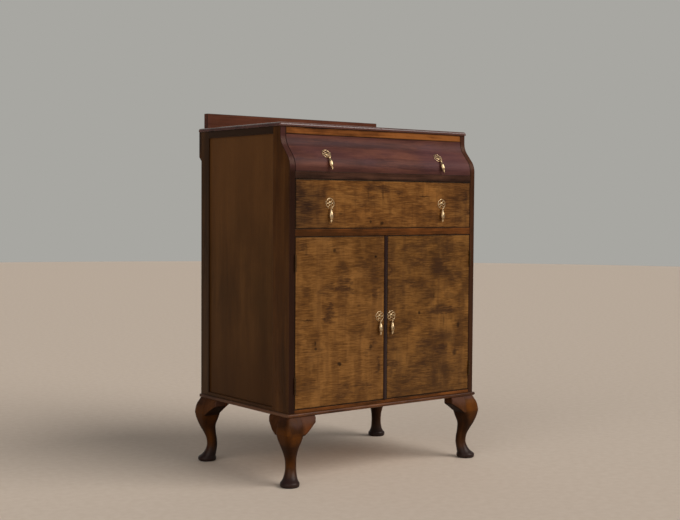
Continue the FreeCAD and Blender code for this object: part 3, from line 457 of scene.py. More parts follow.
def wood(name, grain, tones, shift=(0, 0, 0), sway=0.02, band=(1.6, 17), fibre=(9, 260), patch=(5, 9),
         shares=(0.56, 0.18, 0.26), contrast=0.13, gloss=0.3, sheen=0.2, warmth=WARM_SHEEN, polish=0,
         foot_polish=0, polish_rough=0.2, overlays=(), edge_tone=None, edge_share=0.8):
    """Polished wood: growth bands, fibres and pores along the grain, other colours laid over it.

    Each overlay is a mask, its colour in screen values and the mask's settings.
    """
    finish = Finish(name, Specular_IOR_Level=sheen, Specular_Tint=warmth, Coat_Weight=polish,
                    Coat_Roughness=polish_rough)
    if foot_polish:
        finish.shine(Coat_Weight=finish.ease(finish.along(UP), *FOOT_SHINE, 0, foot_polish))
    straight = finish.mapped(finish.place(), turn=GRAIN_TURNS[grain], shift=shift)
    drift = finish.noise(straight, DRIFT_GRAIN, DRIFT_DETAIL, output="Color")
    bent = finish.vector("MULTIPLY_ADD", drift, (0, sway, sway), straight)
    bands, fibres, patches = (
        finish.noise(bent, (along, across, across), detail, FIGURE_ROUGHNESS)
        for (along, across), detail in ((band, BAND_DETAIL), (fibre, FIBRE_DETAIL), (patch, PATCH_DETAIL)))
    pores = finish.ease(finish.noise(straight, PORE_GRAIN, PORE_DETAIL), *PORE_EDGE)
    band_share, fibre_share, patch_share = shares
    figure = bands * band_share + fibres * fibre_share + patches * patch_share
    dark, middle, light = (tint(*tone) for tone in tones)
    colour = finish.ramp(figure, (NOISE_MIDDLE - contrast, dark), (NOISE_MIDDLE, middle),
                         (NOISE_MIDDLE + contrast, light))
    for mask, tone, *settings in overlays:
        colour = finish.mix(mask(finish, figure, *settings), colour, tint(*tone))
    colour = finish.mix(pores * PORE_SHARE, colour, dark)
    if edge_tone:
        colour = finish.mix(finish.layer(ARRIS_LAYER) * edge_share, colour, tint(*edge_tone))
    rough = gloss + (fibres - NOISE_MIDDLE) * ROUGH_SWING + (patches - NOISE_MIDDLE) * ROUGH_SWING
    finish.shine(Base_Color=colour, Roughness=rough,
                 Normal=finish.bump(fibres * FIBRE_RELIEF - pores, *WOOD_BUMP))
    return finish.material


def brass(name, bright, dull, roughness):
    """Old brass: bright where it is rubbed, brown in its hollows."""
    finish = Finish(name, Metallic=1)
    where = finish.place()
    patches = finish.noise(where, TARNISH_GRAIN, *TARNISH_NOISE)
    specks = finish.noise(where, SPECK_GRAIN)
    hollow = finish.node("ShaderNodeNewGeometry", output="Pointiness")
    worn = patches + (specks - NOISE_MIDDLE) * SPECK_SHARE - (hollow - NOISE_MIDDLE) * HOLLOW_SHARE
    tarnish = finish.ease(worn, *TARNISH_EDGE)
    finish.shine(Base_Color=finish.mix(tarnish, tint(*bright), tint(*dull)),
                 Roughness=roughness + tarnish * TARNISH_ROUGH, Normal=finish.bump(specks, *BRASS_BUMP))
    return finish.material


# Stains, knots and shades, and the painted light and painted sheen on the knees and ears; each row is what
# spots_mask takes.
LEFT_DOOR_STAINS = [
    (-168, 606, 34, 60, 0.9), (-176, 652, 24, 34, 0.6), (-232, 590, 42, 34, 0.8), (-226, 524, 22, 62, 0.95),
    (-314, 722, 16, 56, 0.7), (-250, 746, 92, 12, 0.7), (-106, 662, 30, 46, 0.5), (-62, 640, 34, 66, 0.55),
    (-47, 572, 26, 30, 0.7), (-70, 404, 22, 30, 0.85), (-42, 346, 16, 54, 0.8), (-170, 274, 34, 54, 0.75),
    (-100, 292, 40, 20, 0.7), (-212, 716, 50, 22, 0.5), (-290, 400, 50, 44, 0.4), (-140, 512, 110, 10, 0.45),
    (-300, 300, 60, 26, 0.4), (-326, 590, 34, 22, 0.4), (-330, 470, 24, 60, 0.4), (-120, 440, 70, 30, 0.35),
]
LEFT_DOOR_KNOTS = [
    (-212, 712, 9, 8, 0.75), (-48, 690, 7, 7, 0.9), (-284, 431, 3, 13, 0.75), (-282, 413, 7, 7, 0.85),
    (-190, 361, 12, 7, 0.9), (-318, 502, 42, 3, 0.6), (-66, 407, 9, 10, 0.6), (-116, 538, 10, 5, 0.4),
    (-318, 716, 6, 22, 0.3), (-32, 336, 8, 26, 0.3),
]
RIGHT_DOOR_STAINS = [
    (245, 506, 84, 22, 0.95), (218, 654, 42, 48, 0.85), (116, 668, 66, 22, 0.75), (105, 716, 74, 24, 0.7),
    (296, 622, 46, 34, 0.75), (6, 620, 14, 160, 0.75), (150, 402, 62, 24, 0.85), (236, 376, 34, 26, 0.95),
    (297, 362, 28, 30, 0.95), (26, 340, 28, 72, 0.85), (268, 716, 62, 28, 0.75), (250, 424, 90, 22, 0.5),
    (150, 300, 90, 36, 0.4), (120, 600, 80, 12, 0.6), (120, 466, 50, 18, 0.45), (180, 560, 30, 40, 0.45),
    (160, 350, 14, 60, 0.6), (60, 250, 60, 20, 0.5), (180, 736, 110, 14, 0.6), (60, 560, 40, 40, 0.4),
]
RIGHT_DOOR_SHADES = [
    (190, 300, 230, 130, 0.36), (30, 350, 70, 170, 0.35), (230, 660, 130, 110, 0.2), (60, 600, 70, 150, 0.2),
]
RIGHT_DOOR_KNOTS = [
    (137, 504, 7, 7, 0.85), (312, 456, 8, 14, 0.7), (112, 604, 44, 3, 0.45), (296, 362, 12, 10, 0.5),
    (200, 560, 4, 26, 0.35), (246, 470, 5, 22, 0.35), (262, 636, 16, 4, 0.5),
]
LOWER_DRAWER_STAINS = [
    (-42, 906, 80, 22, 0.9), (-326, 866, 50, 48, 0.85), (-340, 812, 50, 34, 0.9), (348, 852, 18, 64, 0.95),
    (40, 891, 34, 16, 0.8), (-84, 860, 76, 14, 0.65), (250, 912, 60, 12, 0.5), (-270, 880, 44, 40, 0.6),
    (-230, 806, 90, 26, 0.55), (300, 800, 60, 14, 0.5), (-180, 910, 70, 10, 0.45), (190, 812, 70, 14, 0.4),
    (-120, 884, 60, 20, 0.4), (-350, 910, 34, 20, 0.6),
]
LOWER_DRAWER_SHADES = [
    (-372, 846, 190, 130, 0.8), (350, 850, 110, 120, 0.42), (-320, 792, 130, 44, 0.65),
]
LOWER_DRAWER_KNOTS = [
    (-69, 800, 8, 6, 0.8), (-23, 795, 11, 7, 0.8), (156, 880, 36, 3, 0.7), (-190, 824, 12, 5, 0.4),
    (-20, 884, 5, 24, 0.35), (-80, 884, 5, 26, 0.35), (-130, 866, 22, 3, 0.4), (90, 860, 40, 3, 0.3),
]
OGEE_STAINS = [
    (-290, 1000, 190, 12, 0.5), (40, 1012, 260, 9, 0.45), (-180, 1046, 200, 9, 0.5), (180, 984, 220, 7, 0.4),
    (0, 968, 360, 8, 0.5), (200, 1040, 180, 8, 0.35), (-60, 994, 150, 6, 0.45),
]
# Painted light: lighter orange patches where the knees and shins swell towards the light.
LEG_LIT_PATCHES = [
    (-364, 146, 36, 26, 0.5), (-398, 156, 22, 36, 0.4), (370, 182, 50, 46, 0.62), (366, 146, 24, 34, 0.35),
    (-370, 80, 24, 40, 0.4), (372, 70, 16, 44, 0.35),
]
# Painted sheen at the tops of the front knees.
KNEE_SHEEN = [(-356, 204, 38, 32, 0.38), (366, 212, 60, 12, 0.5)]
# Painted light on the middle of the left front ear.
EAR_LIT_PATCH = [(-316, 172, 24, 24, 0.8)]

# Colours in screen values, and what several woods share.
PURPLE_BROWN = (36, 20, 17)
NEAR_BLACK = (22, 13, 8)
STAIN = (62, 38, 22)
SHADE = (44, 29, 22)
# Painted shadow of the gaps round drawers, doors and rails, laid on their eased edges.
GAP_SHADOW_EDGE = dict(edge_tone=(26, 14, 8), edge_share=0.95)
RAIL = dict(grain="x", patch=(14, 30), contrast=0.08)
VENEER = dict(grain="x", sway=0.03, band=(9, 60), fibre=(26, 420), patch=(11, 15), contrast=0.105,
              gloss=0.27, **GAP_SHADOW_EDGE)
CASE_TONES = ((62, 38, 15), (82, 52, 23), (100, 66, 32))
DARK_CASE_TONES = ((57, 33, 13), (79, 47, 19), (98, 62, 28))
STILE = dict(grain="z", tones=DARK_CASE_TONES, sheen=0.1, edge_tone=(50, 30, 24))
PALE = dict(tones=((150, 112, 70), (178, 140, 94), (198, 162, 114)), gloss=0.6,
            overlays=[(clouds, (150, 108, 64), 0.48, 0.66, 0.35)])

WOODS = {
    # Painted light: lighter towards the top; also darker and redder towards the bottom.
    "panel": wood(
        "side_panel_wood", "z", CASE_TONES, (0.3, 0.1, 0), sway=0.04, band=(1.3, 12), gloss=0.34, sheen=0.1,
        overlays=[(clouds, (64, 42, 18), 0.48, 0.66, 0.3), (heights, (112, 74, 40), 0.55, 1.05, 0.6),
                  (heights, (62, 34, 9), 0.6, 0.25, 0.62)]),
    # Painted highlight on the fronts of both stiles, beside the ogee.
    "left_stile": wood(
        "left_stile_wood", shift=(0, 0.2, 0.4), **STILE,
        overlays=[(marked_faces, PURPLE_BROWN, FRONT_LAYER, 0.9),
                  (front_highlight_band, (80, 48, 45), 0.945, 0.975, 0.8)]),
    "right_stile": wood(
        "right_stile_wood", shift=(0.2, 0, 0.1), **STILE,
        overlays=[(marked_faces, (58, 35, 24), FRONT_LAYER, 0.85),
                  (front_highlight_band, (84, 50, 40), 0.945, 0.975, 0.6),
                  (clouds, (84, 48, 28), 0.5, 0.6, 0.5, (30, 30, 5))]),
    "rear_stile": wood(
        "rear_stile_wood", "z", ((44, 28, 14), (62, 40, 21), (80, 53, 29)), (0.5, 0.2, 0.1), sheen=0.14,
        edge_tone=(40, 26, 18)),
    # Painted shadow along the top of the side rails, under the top's overhang.
    "side_rail": wood(
        "side_rail_wood", "y", DARK_CASE_TONES, (0, 0.7, 0.1), sheen=0.12, edge_tone=(44, 27, 15),
        overlays=[(heights, (42, 31, 24), 0.98, 1.05, 0.85)]),
    "side_nose": wood(
        "side_nose_wood", "y", ((62, 38, 24), (86, 56, 38), (106, 72, 50)), (0, 0.4, 0.6), warmth=COOL_SHEEN),
    "top": wood(
        "top_wood", "x", ((62, 36, 30), (88, 54, 45), (106, 68, 57)), (0.2, 0, 0.3), gloss=0.25,
        warmth=COOL_SHEEN, polish=0.8, edge_tone=(60, 38, 33), edge_share=0.3),
    "upstand": wood(
        "upstand_wood", "x", ((70, 37, 26), (99, 54, 38), (124, 69, 47)), (0.5, 0, 0.2),
        edge_tone=(44, 27, 22), overlays=[(clouds, (70, 44, 44), 0.45, 0.6, 0.5)]),
    # Painted shadow along the frieze's edges, under the top and over the ogee drawer.
    "frieze": wood(
        "frieze_wood", tones=((66, 36, 15), (112, 64, 28), (150, 91, 43)), shift=(0.1, 0, 0.6),
        overlays=[(edge_dirt_and_shade, NEAR_BLACK, "frieze_rail", 0.005, 0.8)], **RAIL, **GAP_SHADOW_EDGE),
    # Painted shade towards the rail's lower edge, over the gap above the lower drawer.
    "dark_rail": wood(
        "dark_rail_wood", "x", ((44, 26, 19), (66, 41, 32), (86, 56, 42)), (0.4, 0, 0.1), patch=(10, 20),
        contrast=0.09, overlays=[(heights, (34, 21, 15), 0.942, 0.932, 0.6)], **GAP_SHADOW_EDGE),
    "red_rail": wood(
        "red_rail_wood", tones=((66, 36, 13), (104, 58, 23), (138, 82, 35)), shift=(0.7, 0, 0.5),
        **RAIL, **GAP_SHADOW_EDGE),
    "nose": wood(
        "base_nose_wood", tones=((58, 32, 15), (86, 51, 27), (116, 73, 42)), shift=(0.2, 0, 0.9),
        warmth=COOL_SHEEN, **RAIL),
    # Painted light and shade on the legs: lit patches and sheen on the knees, painted shade on faces in under
    # the case.
    "leg": wood(
        "leg_wood", "z", ((40, 22, 11), (60, 34, 17), (82, 48, 24)), (0.1, 0.3, 0.7), sway=0.03, gloss=0.36,
        sheen=0.06, foot_polish=0.3, polish_rough=0.42,
        overlays=[(clouds, (98, 54, 18), 0.5, 0.68, 0.4, (9, 9, 6)),
                  (blotches, (120, 68, 20), LEG_LIT_PATCHES, (0.03, 0, 0.04)),
                  (blotches, (86, 62, 60), KNEE_SHEEN, (0.03, 0, 0.04)),
                  (heights, (40, 27, 27), 0.048, 0.022, 0.85),
                  (marked_faces, (24, 15, 12), UNDER_SHADE_LAYER, 0.65)]),
    # Painted light on an ear, painted sheen near the tops of the fronts, painted shade on faces turned down
    # and in.
    "knee": wood(
        "knee_block_wood", "z", ((48, 29, 17), (72, 43, 25), (94, 58, 34)), (0.6, 0.1, 0.2), gloss=0.5,
        sheen=0.02,
        overlays=[(blotches, (112, 54, 22), EAR_LIT_PATCH, (0.02, 0, 0.03)),
                  (front_highlight_band, (94, 66, 56), 0.176, 0.205, 0.7),
                  (marked_faces, (30, 20, 15), UNDER_SHADE_LAYER, 0.9)]),
    "ogee": wood(
        "ogee_veneer", "x", ((66, 37, 32), (94, 56, 46), (114, 70, 56)), (0.2, 0, 0.8), sway=0.06,
        band=(1.4, 34), gloss=0.42, sheen=0.1, warmth=COOL_SHEEN, contrast=0.1,
        edge_tone=GAP_SHADOW_EDGE["edge_tone"],
        overlays=[(clouds, (88, 55, 60), 0.46, 0.66, 0.55), (blotches, (60, 35, 37), OGEE_STAINS),
                  (heights, (52, 30, 26), 0.988, 0.95, 0.6)]),
    "bead": wood(
        "bead_wood", "z", ((28, 16, 14), (40, 24, 21), (54, 34, 30)), (0.3, 0.5, 0), gloss=0.24,
        warmth=COOL_SHEEN, polish=0.15),
    # Dark edges on the doors: dirt, and painted shadow of the gaps round them.
    "left_door": wood(
        "left_door_veneer", tones=((78, 48, 21), (111, 73, 34), (139, 95, 48)), shares=(0.2, 0.4, 0.4),
        overlays=[(clouds, (150, 104, 54), 0.52, 0.68, 0.5, (17, 17, 7)),
                  (clouds, (78, 48, 24), 0.5, 0.66, 0.35, (34, 34, 3)),
                  (blotches, STAIN, LEFT_DOOR_STAINS), (marks, NEAR_BLACK, LEFT_DOOR_KNOTS),
                  (edge_dirt_and_shade, NEAR_BLACK, "left_door", 0.005, 0.75)], **VENEER),
    "right_door": wood(
        "right_door_veneer", tones=((72, 44, 19), (108, 71, 32), (138, 94, 45)), shift=(0.4, 0, 0.3),
        shares=(0.2, 0.36, 0.44),
        overlays=[(clouds, (150, 104, 52), 0.52, 0.68, 0.55, (14, 14, 9)),
                  (clouds, (66, 42, 22), 0.5, 0.66, 0.4, (13, 13, 17)),
                  (clouds, (74, 46, 24), 0.5, 0.66, 0.35, (38, 38, 3)),
                  (blotches, STAIN, RIGHT_DOOR_STAINS), (shades, SHADE, RIGHT_DOOR_SHADES),
                  (marks, NEAR_BLACK, RIGHT_DOOR_KNOTS),
                  (edge_dirt_and_shade, NEAR_BLACK, "right_door", 0.005, 0.75)], **VENEER),
    # Dark edges on the drawer front: dirt, and painted shadow of the gaps round it.
    "lower_drawer": wood(
        "lower_drawer_veneer", tones=((76, 46, 22), (114, 73, 34), (146, 100, 50)), shift=(0.1, 0, 0.7),
        shares=(0.24, 0.38, 0.38),
        overlays=[(clouds, (158, 106, 52), 0.52, 0.68, 0.5, (11, 11, 16)),
                  (clouds, (82, 50, 24), 0.5, 0.64, 0.35, (60, 60, 5)),
                  (blotches, STAIN, LOWER_DRAWER_STAINS), (shades, SHADE, LOWER_DRAWER_SHADES),
                  (marks, NEAR_BLACK, LOWER_DRAWER_KNOTS),
                  (edge_dirt_and_shade, NEAR_BLACK, "lower_drawer_front", 0.006, 0.85)], **VENEER),
    "pale_x": wood("pale_wood_across", "x", shift=(0.3, 0.2, 0), **PALE),
    "pale_y": wood("pale_wood_lengthwise", "y", shift=(0.9, 0.2, 0), **PALE),
    "back": wood(
        "back_board_wood", "z", ((104, 76, 48), (134, 102, 68), (156, 122, 84)), (0.1, 0.9, 0),
        band=(1.0, 9), gloss=0.65, overlays=[(clouds, (98, 74, 50), 0.48, 0.66, 0.35)]),
}
HANDLE_BRASS = brass("handle_brass_aged", (218, 190, 148), (100, 76, 48), 0.3)
DARK_BRASS = brass("handle_brass_dark", (120, 98, 66), (48, 36, 24), 0.4)
HINGE_BRASS = brass("hinge_brass_dull", (84, 62, 40), (40, 28, 20), 0.5)
STEEL = brass("nail_steel_dull", (120, 118, 114), (66, 60, 54), 0.45)


# Mesh tools

def new_mesh():
    """An empty mesh with the layers that the finishes read."""
    bm = bmesh.new()
    for layer in (ARRIS_LAYER, FRONT_LAYER, UNDER_SHADE_LAYER):
        bm.faces.layers.float.new(layer)
    return bm


def put(name, bm, finish, body, nodes=(), backing=None, flat=True):
    """Set a finished mesh in the scene on its body, for the CAD nodes that it stands for."""
    bmesh.ops.remove_doubles(bm, verts=bm.verts, dist=MERGE)
    bmesh.ops.recalc_face_normals(bm, faces=bm.faces)
    forward = bm.faces.layers.float[FRONT_LAYER]
    under = bm.faces.layers.float[UNDER_SHADE_LAYER]
    for face in bm.faces:
        face.smooth = True
        face[forward] = max(0, -face.normal.y)
        # Faces that turn down get painted shade.
        face[under] = max(face[under], min(1, max(0, -UNDER_SHADE_GAIN * face.normal.z)))
        if backing and face.normal.y > FACING:
            face.material_index = 1
    mesh = bpy.data.meshes.new(name)
    bm.to_mesh(mesh)
    bm.free()
    mesh.materials.append(finish)
    if backing:
        mesh.materials.append(backing)
    mesh.set_sharp_from_angle(angle=SHARP_ANGLE)
    piece = bpy.data.objects.new(name, mesh)
    bpy.context.scene.collection.objects.link(piece)
    if flat:
        piece.modifiers.new("even_faces", "WEIGHTED_NORMAL").keep_sharp = True
    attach(piece, body)
    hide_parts(*nodes)


def of_kind(kind, geometry):
    return [item for item in geometry if isinstance(item, kind)]


def edges_of(verts):
    return {edge for vert in verts for edge in vert.link_edges}


def linked(start):
    """Every vertex that edges join to one vertex, itself included."""
    found = {start}
    fresh = found
    while fresh:
        fresh = {vert for edge in edges_of(fresh) for vert in edge.verts} - found
        found = found | fresh
    return found


def cut(bm, point, normal, clear=False):
    """Cut through everything at a plane, and clear what lies beyond if asked; returns what the cut made."""
    return bmesh.ops.bisect_plane(bm, geom=bm.verts[:] + bm.edges[:] + bm.faces[:], dist=MERGE,
                                  plane_co=point, plane_no=normal, clear_outer=clear)["geom_cut"]


def soften(bm, edges, width=ARRIS, steps=ARRIS_STEPS):
    """Ease some edges and mark the new faces as arrises."""
    layer = bm.faces.layers.float[ARRIS_LAYER]
    made = bmesh.ops.bevel(bm, geom=list(edges), offset=width, offset_type="OFFSET", affect="EDGES",
                           segments=steps, profile=0.5, material=-1, clamp_overlap=True)
    for face in made["faces"]:
        face[layer] = 1


def board(bm, low, high, edge=ARRIS):
    """A straight board with eased edges."""
    verts = bmesh.ops.create_cube(bm, size=1)["verts"]
    bmesh.ops.scale(bm, vec=high - low, verts=verts)
    bmesh.ops.translate(bm, vec=(low + high) / 2, verts=verts)
    soften(bm, edges_of(verts), edge)


def solids(node):
    """Lowest and highest corner of each separate solid of a CAD node."""
    bm = bmesh.new()
    bm.from_mesh(frame["nodes"][node].data)
    bmesh.ops.remove_doubles(bm, verts=bm.verts, dist=MERGE)
    waiting = set(bm.verts)
    boxes = []
    while waiting:
        solid = linked(waiting.pop())
        waiting -= solid
        places = list(zip(*(vert.co for vert in solid)))
        boxes.append((Vector(map(min, places)), Vector(map(max, places))))
    bm.free()
    return sorted(boxes, key=lambda corners: tuple(corners[0]))


class Pen:
    """Draws an outline in a mesh, one stretch after another."""

    def __init__(self, bm, start):
        self.bm = bm
        self.first = bm.verts.new(start)
        self.last = self.first

    def line(self, *points):
        for point in points:
            self.last = bmesh.ops.extrude_vert_indiv(self.bm, verts=[self.last])["verts"][0]
            self.last.co = point
        return self

    def arc(self, centre, axis, angle, steps):
        made = bmesh.ops.spin(self.bm, geom=[self.last], cent=centre, axis=axis, angle=angle, steps=steps,
                              use_merge=False, use_duplicate=False)
        self.last = of_kind(bmesh.types.BMVert, made["geom_last"])[0]
        return self

    def curve(self, leaving, arriving, end, steps):
        return self.line(*interpolate_bezier(self.last.co, leaving, arriving, end, steps + 1)[1:])

    def drawn(self):
        """Every edge of the outline so far."""
        return list(edges_of(linked(self.first)))

    def closed(self):
        """Join the end of the outline to its start; returns its vertices."""
        self.bm.edges.new((self.last, self.first))
        return list(linked(self.first))

    def solid(self, depth):
        """Close the outline and give it depth; returns the edges round both ends."""
        self.closed()
        face = bmesh.ops.contextual_create(self.bm, geom=self.drawn())["faces"][0]
        made = bmesh.ops.extrude_face_region(self.bm, geom=[face])["geom"]
        bmesh.ops.translate(self.bm, vec=depth, verts=of_kind(bmesh.types.BMVert, made))
        return set(face.edges) | set(of_kind(bmesh.types.BMFace, made)[0].edges)

    def spun(self, axis, steps, centre=(0, 0, 0)):
        """Turn the drawn line right round an axis."""
        bmesh.ops.spin(self.bm, geom=self.drawn() + [self.first], cent=centre, axis=axis, angle=2 * math.pi,
                       steps=steps, use_merge=True, use_duplicate=False)


def loft(bm, rings):
    """Skin over rings of vertices, with both ends closed; returns the two ends."""
    loops = [list(edges_of(ring)) for ring in rings]
    for near, far in zip(loops, loops[1:]):
        bmesh.ops.bridge_loops(bm, edges=near + far)
    return [bmesh.ops.contextual_create(bm, geom=loop)["faces"][0] for loop in (loops[0], loops[-1])]


def turn_to(direction):
    """A turn that takes +Z to a direction."""
    return direction.to_track_quat("Z", "Y").to_matrix().to_4x4()


def torus(bm, centre, axis, major, minor, steps, round_steps=WIRE_STEPS):
    """A round wire ring about an axis."""
    wire = bmesh.ops.create_circle(bm, segments=round_steps, radius=minor)["verts"]
    away = axis.orthogonal().normalized()
    stand = Matrix.Translation(Vector(centre) + major * away) @ turn_to(axis.cross(away))
    bmesh.ops.transform(bm, matrix=stand, verts=wire)
    bmesh.ops.spin(bm, geom=wire + list(edges_of(wire)), cent=centre, axis=axis, angle=2 * math.pi,
                   steps=steps, use_merge=True, use_duplicate=False)


def rod(bm, start, direction, radius, length, steps):
    """A round bar from a point along a direction, with eased ends."""
    stand = Matrix.Translation(start + direction * length / 2) @ turn_to(direction)
    verts = bmesh.ops.create_cone(bm, cap_ends=True, segments=steps, radius1=radius, radius2=radius,
                                  depth=length, matrix=stand)["verts"]
    sides = {edge for edge in edges_of(verts)
             if abs((edge.verts[0].co - edge.verts[1].co).normalized().dot(direction)) > FACING}
    soften(bm, edges_of(verts) - sides, FINE_EDGE, FINE_STEPS)


# Case

def boards(name, nodes, finish, body, slot, edge=ARRIS, backing=None):
    """Plain boards in place of the solids of some nodes; finish and backing name their woods."""
    bm = new_mesh()
    for node in nodes:
        for low, high in solids(node):
            board(bm, low, high, edge)
    put(name, bm, WOODS[finish], body, nodes, WOODS.get(backing))


# Each row is what boards takes.
BOARDS = [
    ("upstand_eased", ["upstand"], "upstand", "carcass", "case_wood", UPSTAND_EDGE),
    ("rear_stiles_eased", ["left_rear_stile", "right_rear_stile"], "rear_stile", "carcass", "case_wood",
     STILE_EDGE),
    ("side_rails_eased", ["side_rails"], "side_rail", "carcass", "case_wood"),
    ("side_panels_flat", ["left_side_panel", "right_side_panel"], "panel", "carcass", "case_wood", THIN_EDGE),
    ("frieze_rail_eased", ["frieze_rail"], "frieze", "carcass", "rail_wood"),
    ("upper_drawer_rail_eased", ["upper_drawer_rail"], "dark_rail", "carcass", "rail_wood"),
    ("lower_rails_eased", ["lower_drawer_rail", "base_rail"], "red_rail", "carcass", "rail_wood"),
    ("runners_eased", ["drawer_runners", "drawer_kickers", "stop_blocks", "shelf_bearers"], "pale_y",
     "carcass", "inner_wood"),
    ("inner_boards_eased", ["shelf", "cupboard_floor", "dust_board"], "pale_x", "carcass", "inner_wood"),
    ("back_panel_flat", ["back_panel"], "back", "carcass", "inner_wood", THIN_EDGE),
    ("upper_drawer_back_eased", ["upper_drawer_back"], "pale_x", "upper_drawer", "inner_wood"),
    ("upper_drawer_bottom_flat", ["upper_drawer_bottom"], "pale_x", "upper_drawer", "inner_wood", THIN_EDGE),
    ("lower_drawer_front_veneered", ["lower_drawer_front"], "lower_drawer", "lower_drawer", "front_veneer",
     FRONT_EDGE, "pale_x"),
    ("lower_drawer_sides_eased", ["lower_drawer_sides"], "pale_y", "lower_drawer", "inner_wood"),
    ("lower_drawer_back_eased", ["lower_drawer_back"], "pale_x", "lower_drawer", "inner_wood"),
    ("lower_drawer_bottom_flat", ["lower_drawer_bottom"], "pale_x", "lower_drawer", "inner_wood", THIN_EDGE),
    ("left_door_veneered", ["left_door"], "left_door", "left_door", "front_veneer", FRONT_EDGE, "panel"),
    ("right_door_veneered", ["right_door"], "right_door", "right_door", "front_veneer", FRONT_EDGE, "panel"),
]


def ogee_up(pen, x, foot, z, top_turn=OGEE_SLOPE):
    """From the foot of the ogee to its top: round out, straight, round in."""
    pen.arc((x, foot + OGEE_RADIUS, z), X, -OGEE_SLOPE, OGEE_STEPS)
    pen.line((x, foot + OGEE_RECESS - OGEE_RUN, z + OGEE_RISE - OGEE_LIFT))
    pen.arc((x, foot + OGEE_RECESS - OGEE_RADIUS, z + OGEE_RISE), X, top_turn, OGEE_STEPS)


def ogee_down(pen, x, foot, z):
    """The same curve from its top to its foot."""
    pen.arc((x, foot + OGEE_RECESS - OGEE_RADIUS, z + OGEE_RISE), X, -OGEE_SLOPE, OGEE_STEPS)
    pen.line((x, foot + OGEE_RUN, z + OGEE_LIFT))
    pen.arc((x, foot + OGEE_RADIUS, z), X, OGEE_SLOPE, OGEE_STEPS)


def rounded_ring(bm, low, high, radius):
    """A level rectangle with round corners, at the height of its low corner."""
    ring = bmesh.ops.create_circle(bm, segments=TOP_RING_STEPS, radius=1)["verts"]
    half_step = Matrix.Rotation(math.pi / TOP_RING_STEPS, 3, "Z")
    bmesh.ops.rotate(bm, verts=ring, cent=(0, 0, 0), matrix=half_step)
    for vert in ring:
        place = Vector(low)
        for axis in (ACROSS, DEEP):
            turn = vert.co[axis]
            corner = high[axis] - radius if turn > 0 else low[axis] + radius
            place[axis] = corner + radius * turn
        vert.co = place
    return ring


def make_top():
    """Top board with a rounded edge on three sides, and the chamfered rail across the back."""
    low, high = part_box("top_board")
    profile = [(ARRIS / 2, 0), (0, ARRIS / 2)]
    for step in range(TOP_EDGE_STEPS + 1):
        turn = QUARTER * step / TOP_EDGE_STEPS
        profile.append((TOP_EDGE * (1 - math.cos(turn)), high.z - low.z - TOP_EDGE * (1 - math.sin(turn))))
    bm = new_mesh()
    rings = []
    for inset, rise in profile:
        corner = TOP_CORNER * (1 - TOP_CORNER_LOSS_SHARE * inset / TOP_EDGE)
        rings.append(rounded_ring(bm, low + Vector((inset, inset, rise)),
                                  high - Vector((inset, ARRIS / 2, 0)), corner))
    loft(bm, rings)
    put("top_board_moulded", bm, WOODS["top"], "carcass", ["top_board"])
    low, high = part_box("back_top_rail")
    bm = new_mesh()
    pen = Pen(bm, low)
    pen.line((low.x, high.y, low.z + RAIL_CHAMFER), (low.x, high.y, high.z), (low.x, low.y, high.z))
    pen.solid((high.x - low.x) * X)
    soften(bm, bm.edges)
    put("back_top_rail_eased", bm, WOODS["side_rail"], "carcass", ["back_top_rail"])


def make_front_stiles():
    """Front stiles cut to the ogee."""
    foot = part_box("upper_drawer_rail")[1].z + OGEE_FOOT
    for side in ("left", "right"):
        node = side + "_front_stile"
        low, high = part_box(node)
        bm = new_mesh()
        pen = Pen(bm, low)
        pen.line((low.x, low.y, foot))
        ogee_up(pen, low.x, low.y, foot)
        pen.line((low.x, low.y + OGEE_RECESS, high.z), (low.x, high.y, high.z), (low.x, high.y, low.z))
        soften(bm, pen.solid((high.x - low.x) * X), STILE_EDGE)
        put(node + "_shaped", bm, WOODS[side + "_stile"], "carcass", [node])


def nosed_bar(corner, inwards, width, height, along):
    """A bar with both edges of its outer face rounded, from the low outer corner of one end."""
    bm = new_mesh()
    axis = Z.cross(inwards)
    inner = corner + width * inwards
    nose = corner + BASE_NOSE * inwards
    pen = Pen(bm, inner)
    pen.line(nose)
    pen.arc(nose + BASE_NOSE * Z, axis, QUARTER, NOSE_STEPS)
    pen.line(corner + (height - BASE_NOSE) * Z)
    pen.arc(nose + (height - BASE_NOSE) * Z, axis, QUARTER, NOSE_STEPS)
    pen.line(inner + height * Z)
    pen.solid(along)
    return bm


def cut_mitre(bm, corner, normal):
    """Cut everything beyond a plane away and close the cut."""
    made = cut(bm, corner, normal, clear=True)
    bmesh.ops.contextual_create(bm, geom=of_kind(bmesh.types.BMEdge, made))


def make_base():
    """Base frame with a rounded nose on its front and ends, mitred at the front corners."""
    low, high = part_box("base_front_rail")
    length, width, height = high - low
    right = low + length * X
    bm = nosed_bar(low, Y, width, height, length * X)
    cut_mitre(bm, low, Y - X)
    cut_mitre(bm, right, Y + X)
    put("base_front_rail_nosed", bm, WOODS["nose"], "carcass", ["base_front_rail"])
    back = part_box("base_frame_rails")[1].y
    for side, corner, inwards in (("left", low, X), ("right", right, -X)):
        bm = nosed_bar(corner, inwards, width, height, (back - low.y) * Y)
        cut_mitre(bm, corner, inwards - Y)
        put(side + "_base_rail_nosed", bm, WOODS["side_nose"], "carcass", ["base_frame_rails"])
    bm = new_mesh()
    board(bm, Vector((low.x + width, back - width, low.z)), Vector((high.x - width, back, high.z)))
    put("back_base_rail_eased", bm, WOODS["dark_rail"], "carcass", ["base_frame_rails"])


def nail(bm, place):
    """Flat round nail head with a slightly raised middle, on the back."""
    first, *others = (place + NAIL_RADIUS * (across * X + out * Y) for across, out in NAIL_PROFILE_SHARES)
    Pen(bm, first).line(*others).spun(Y, NAIL_STEPS, place)


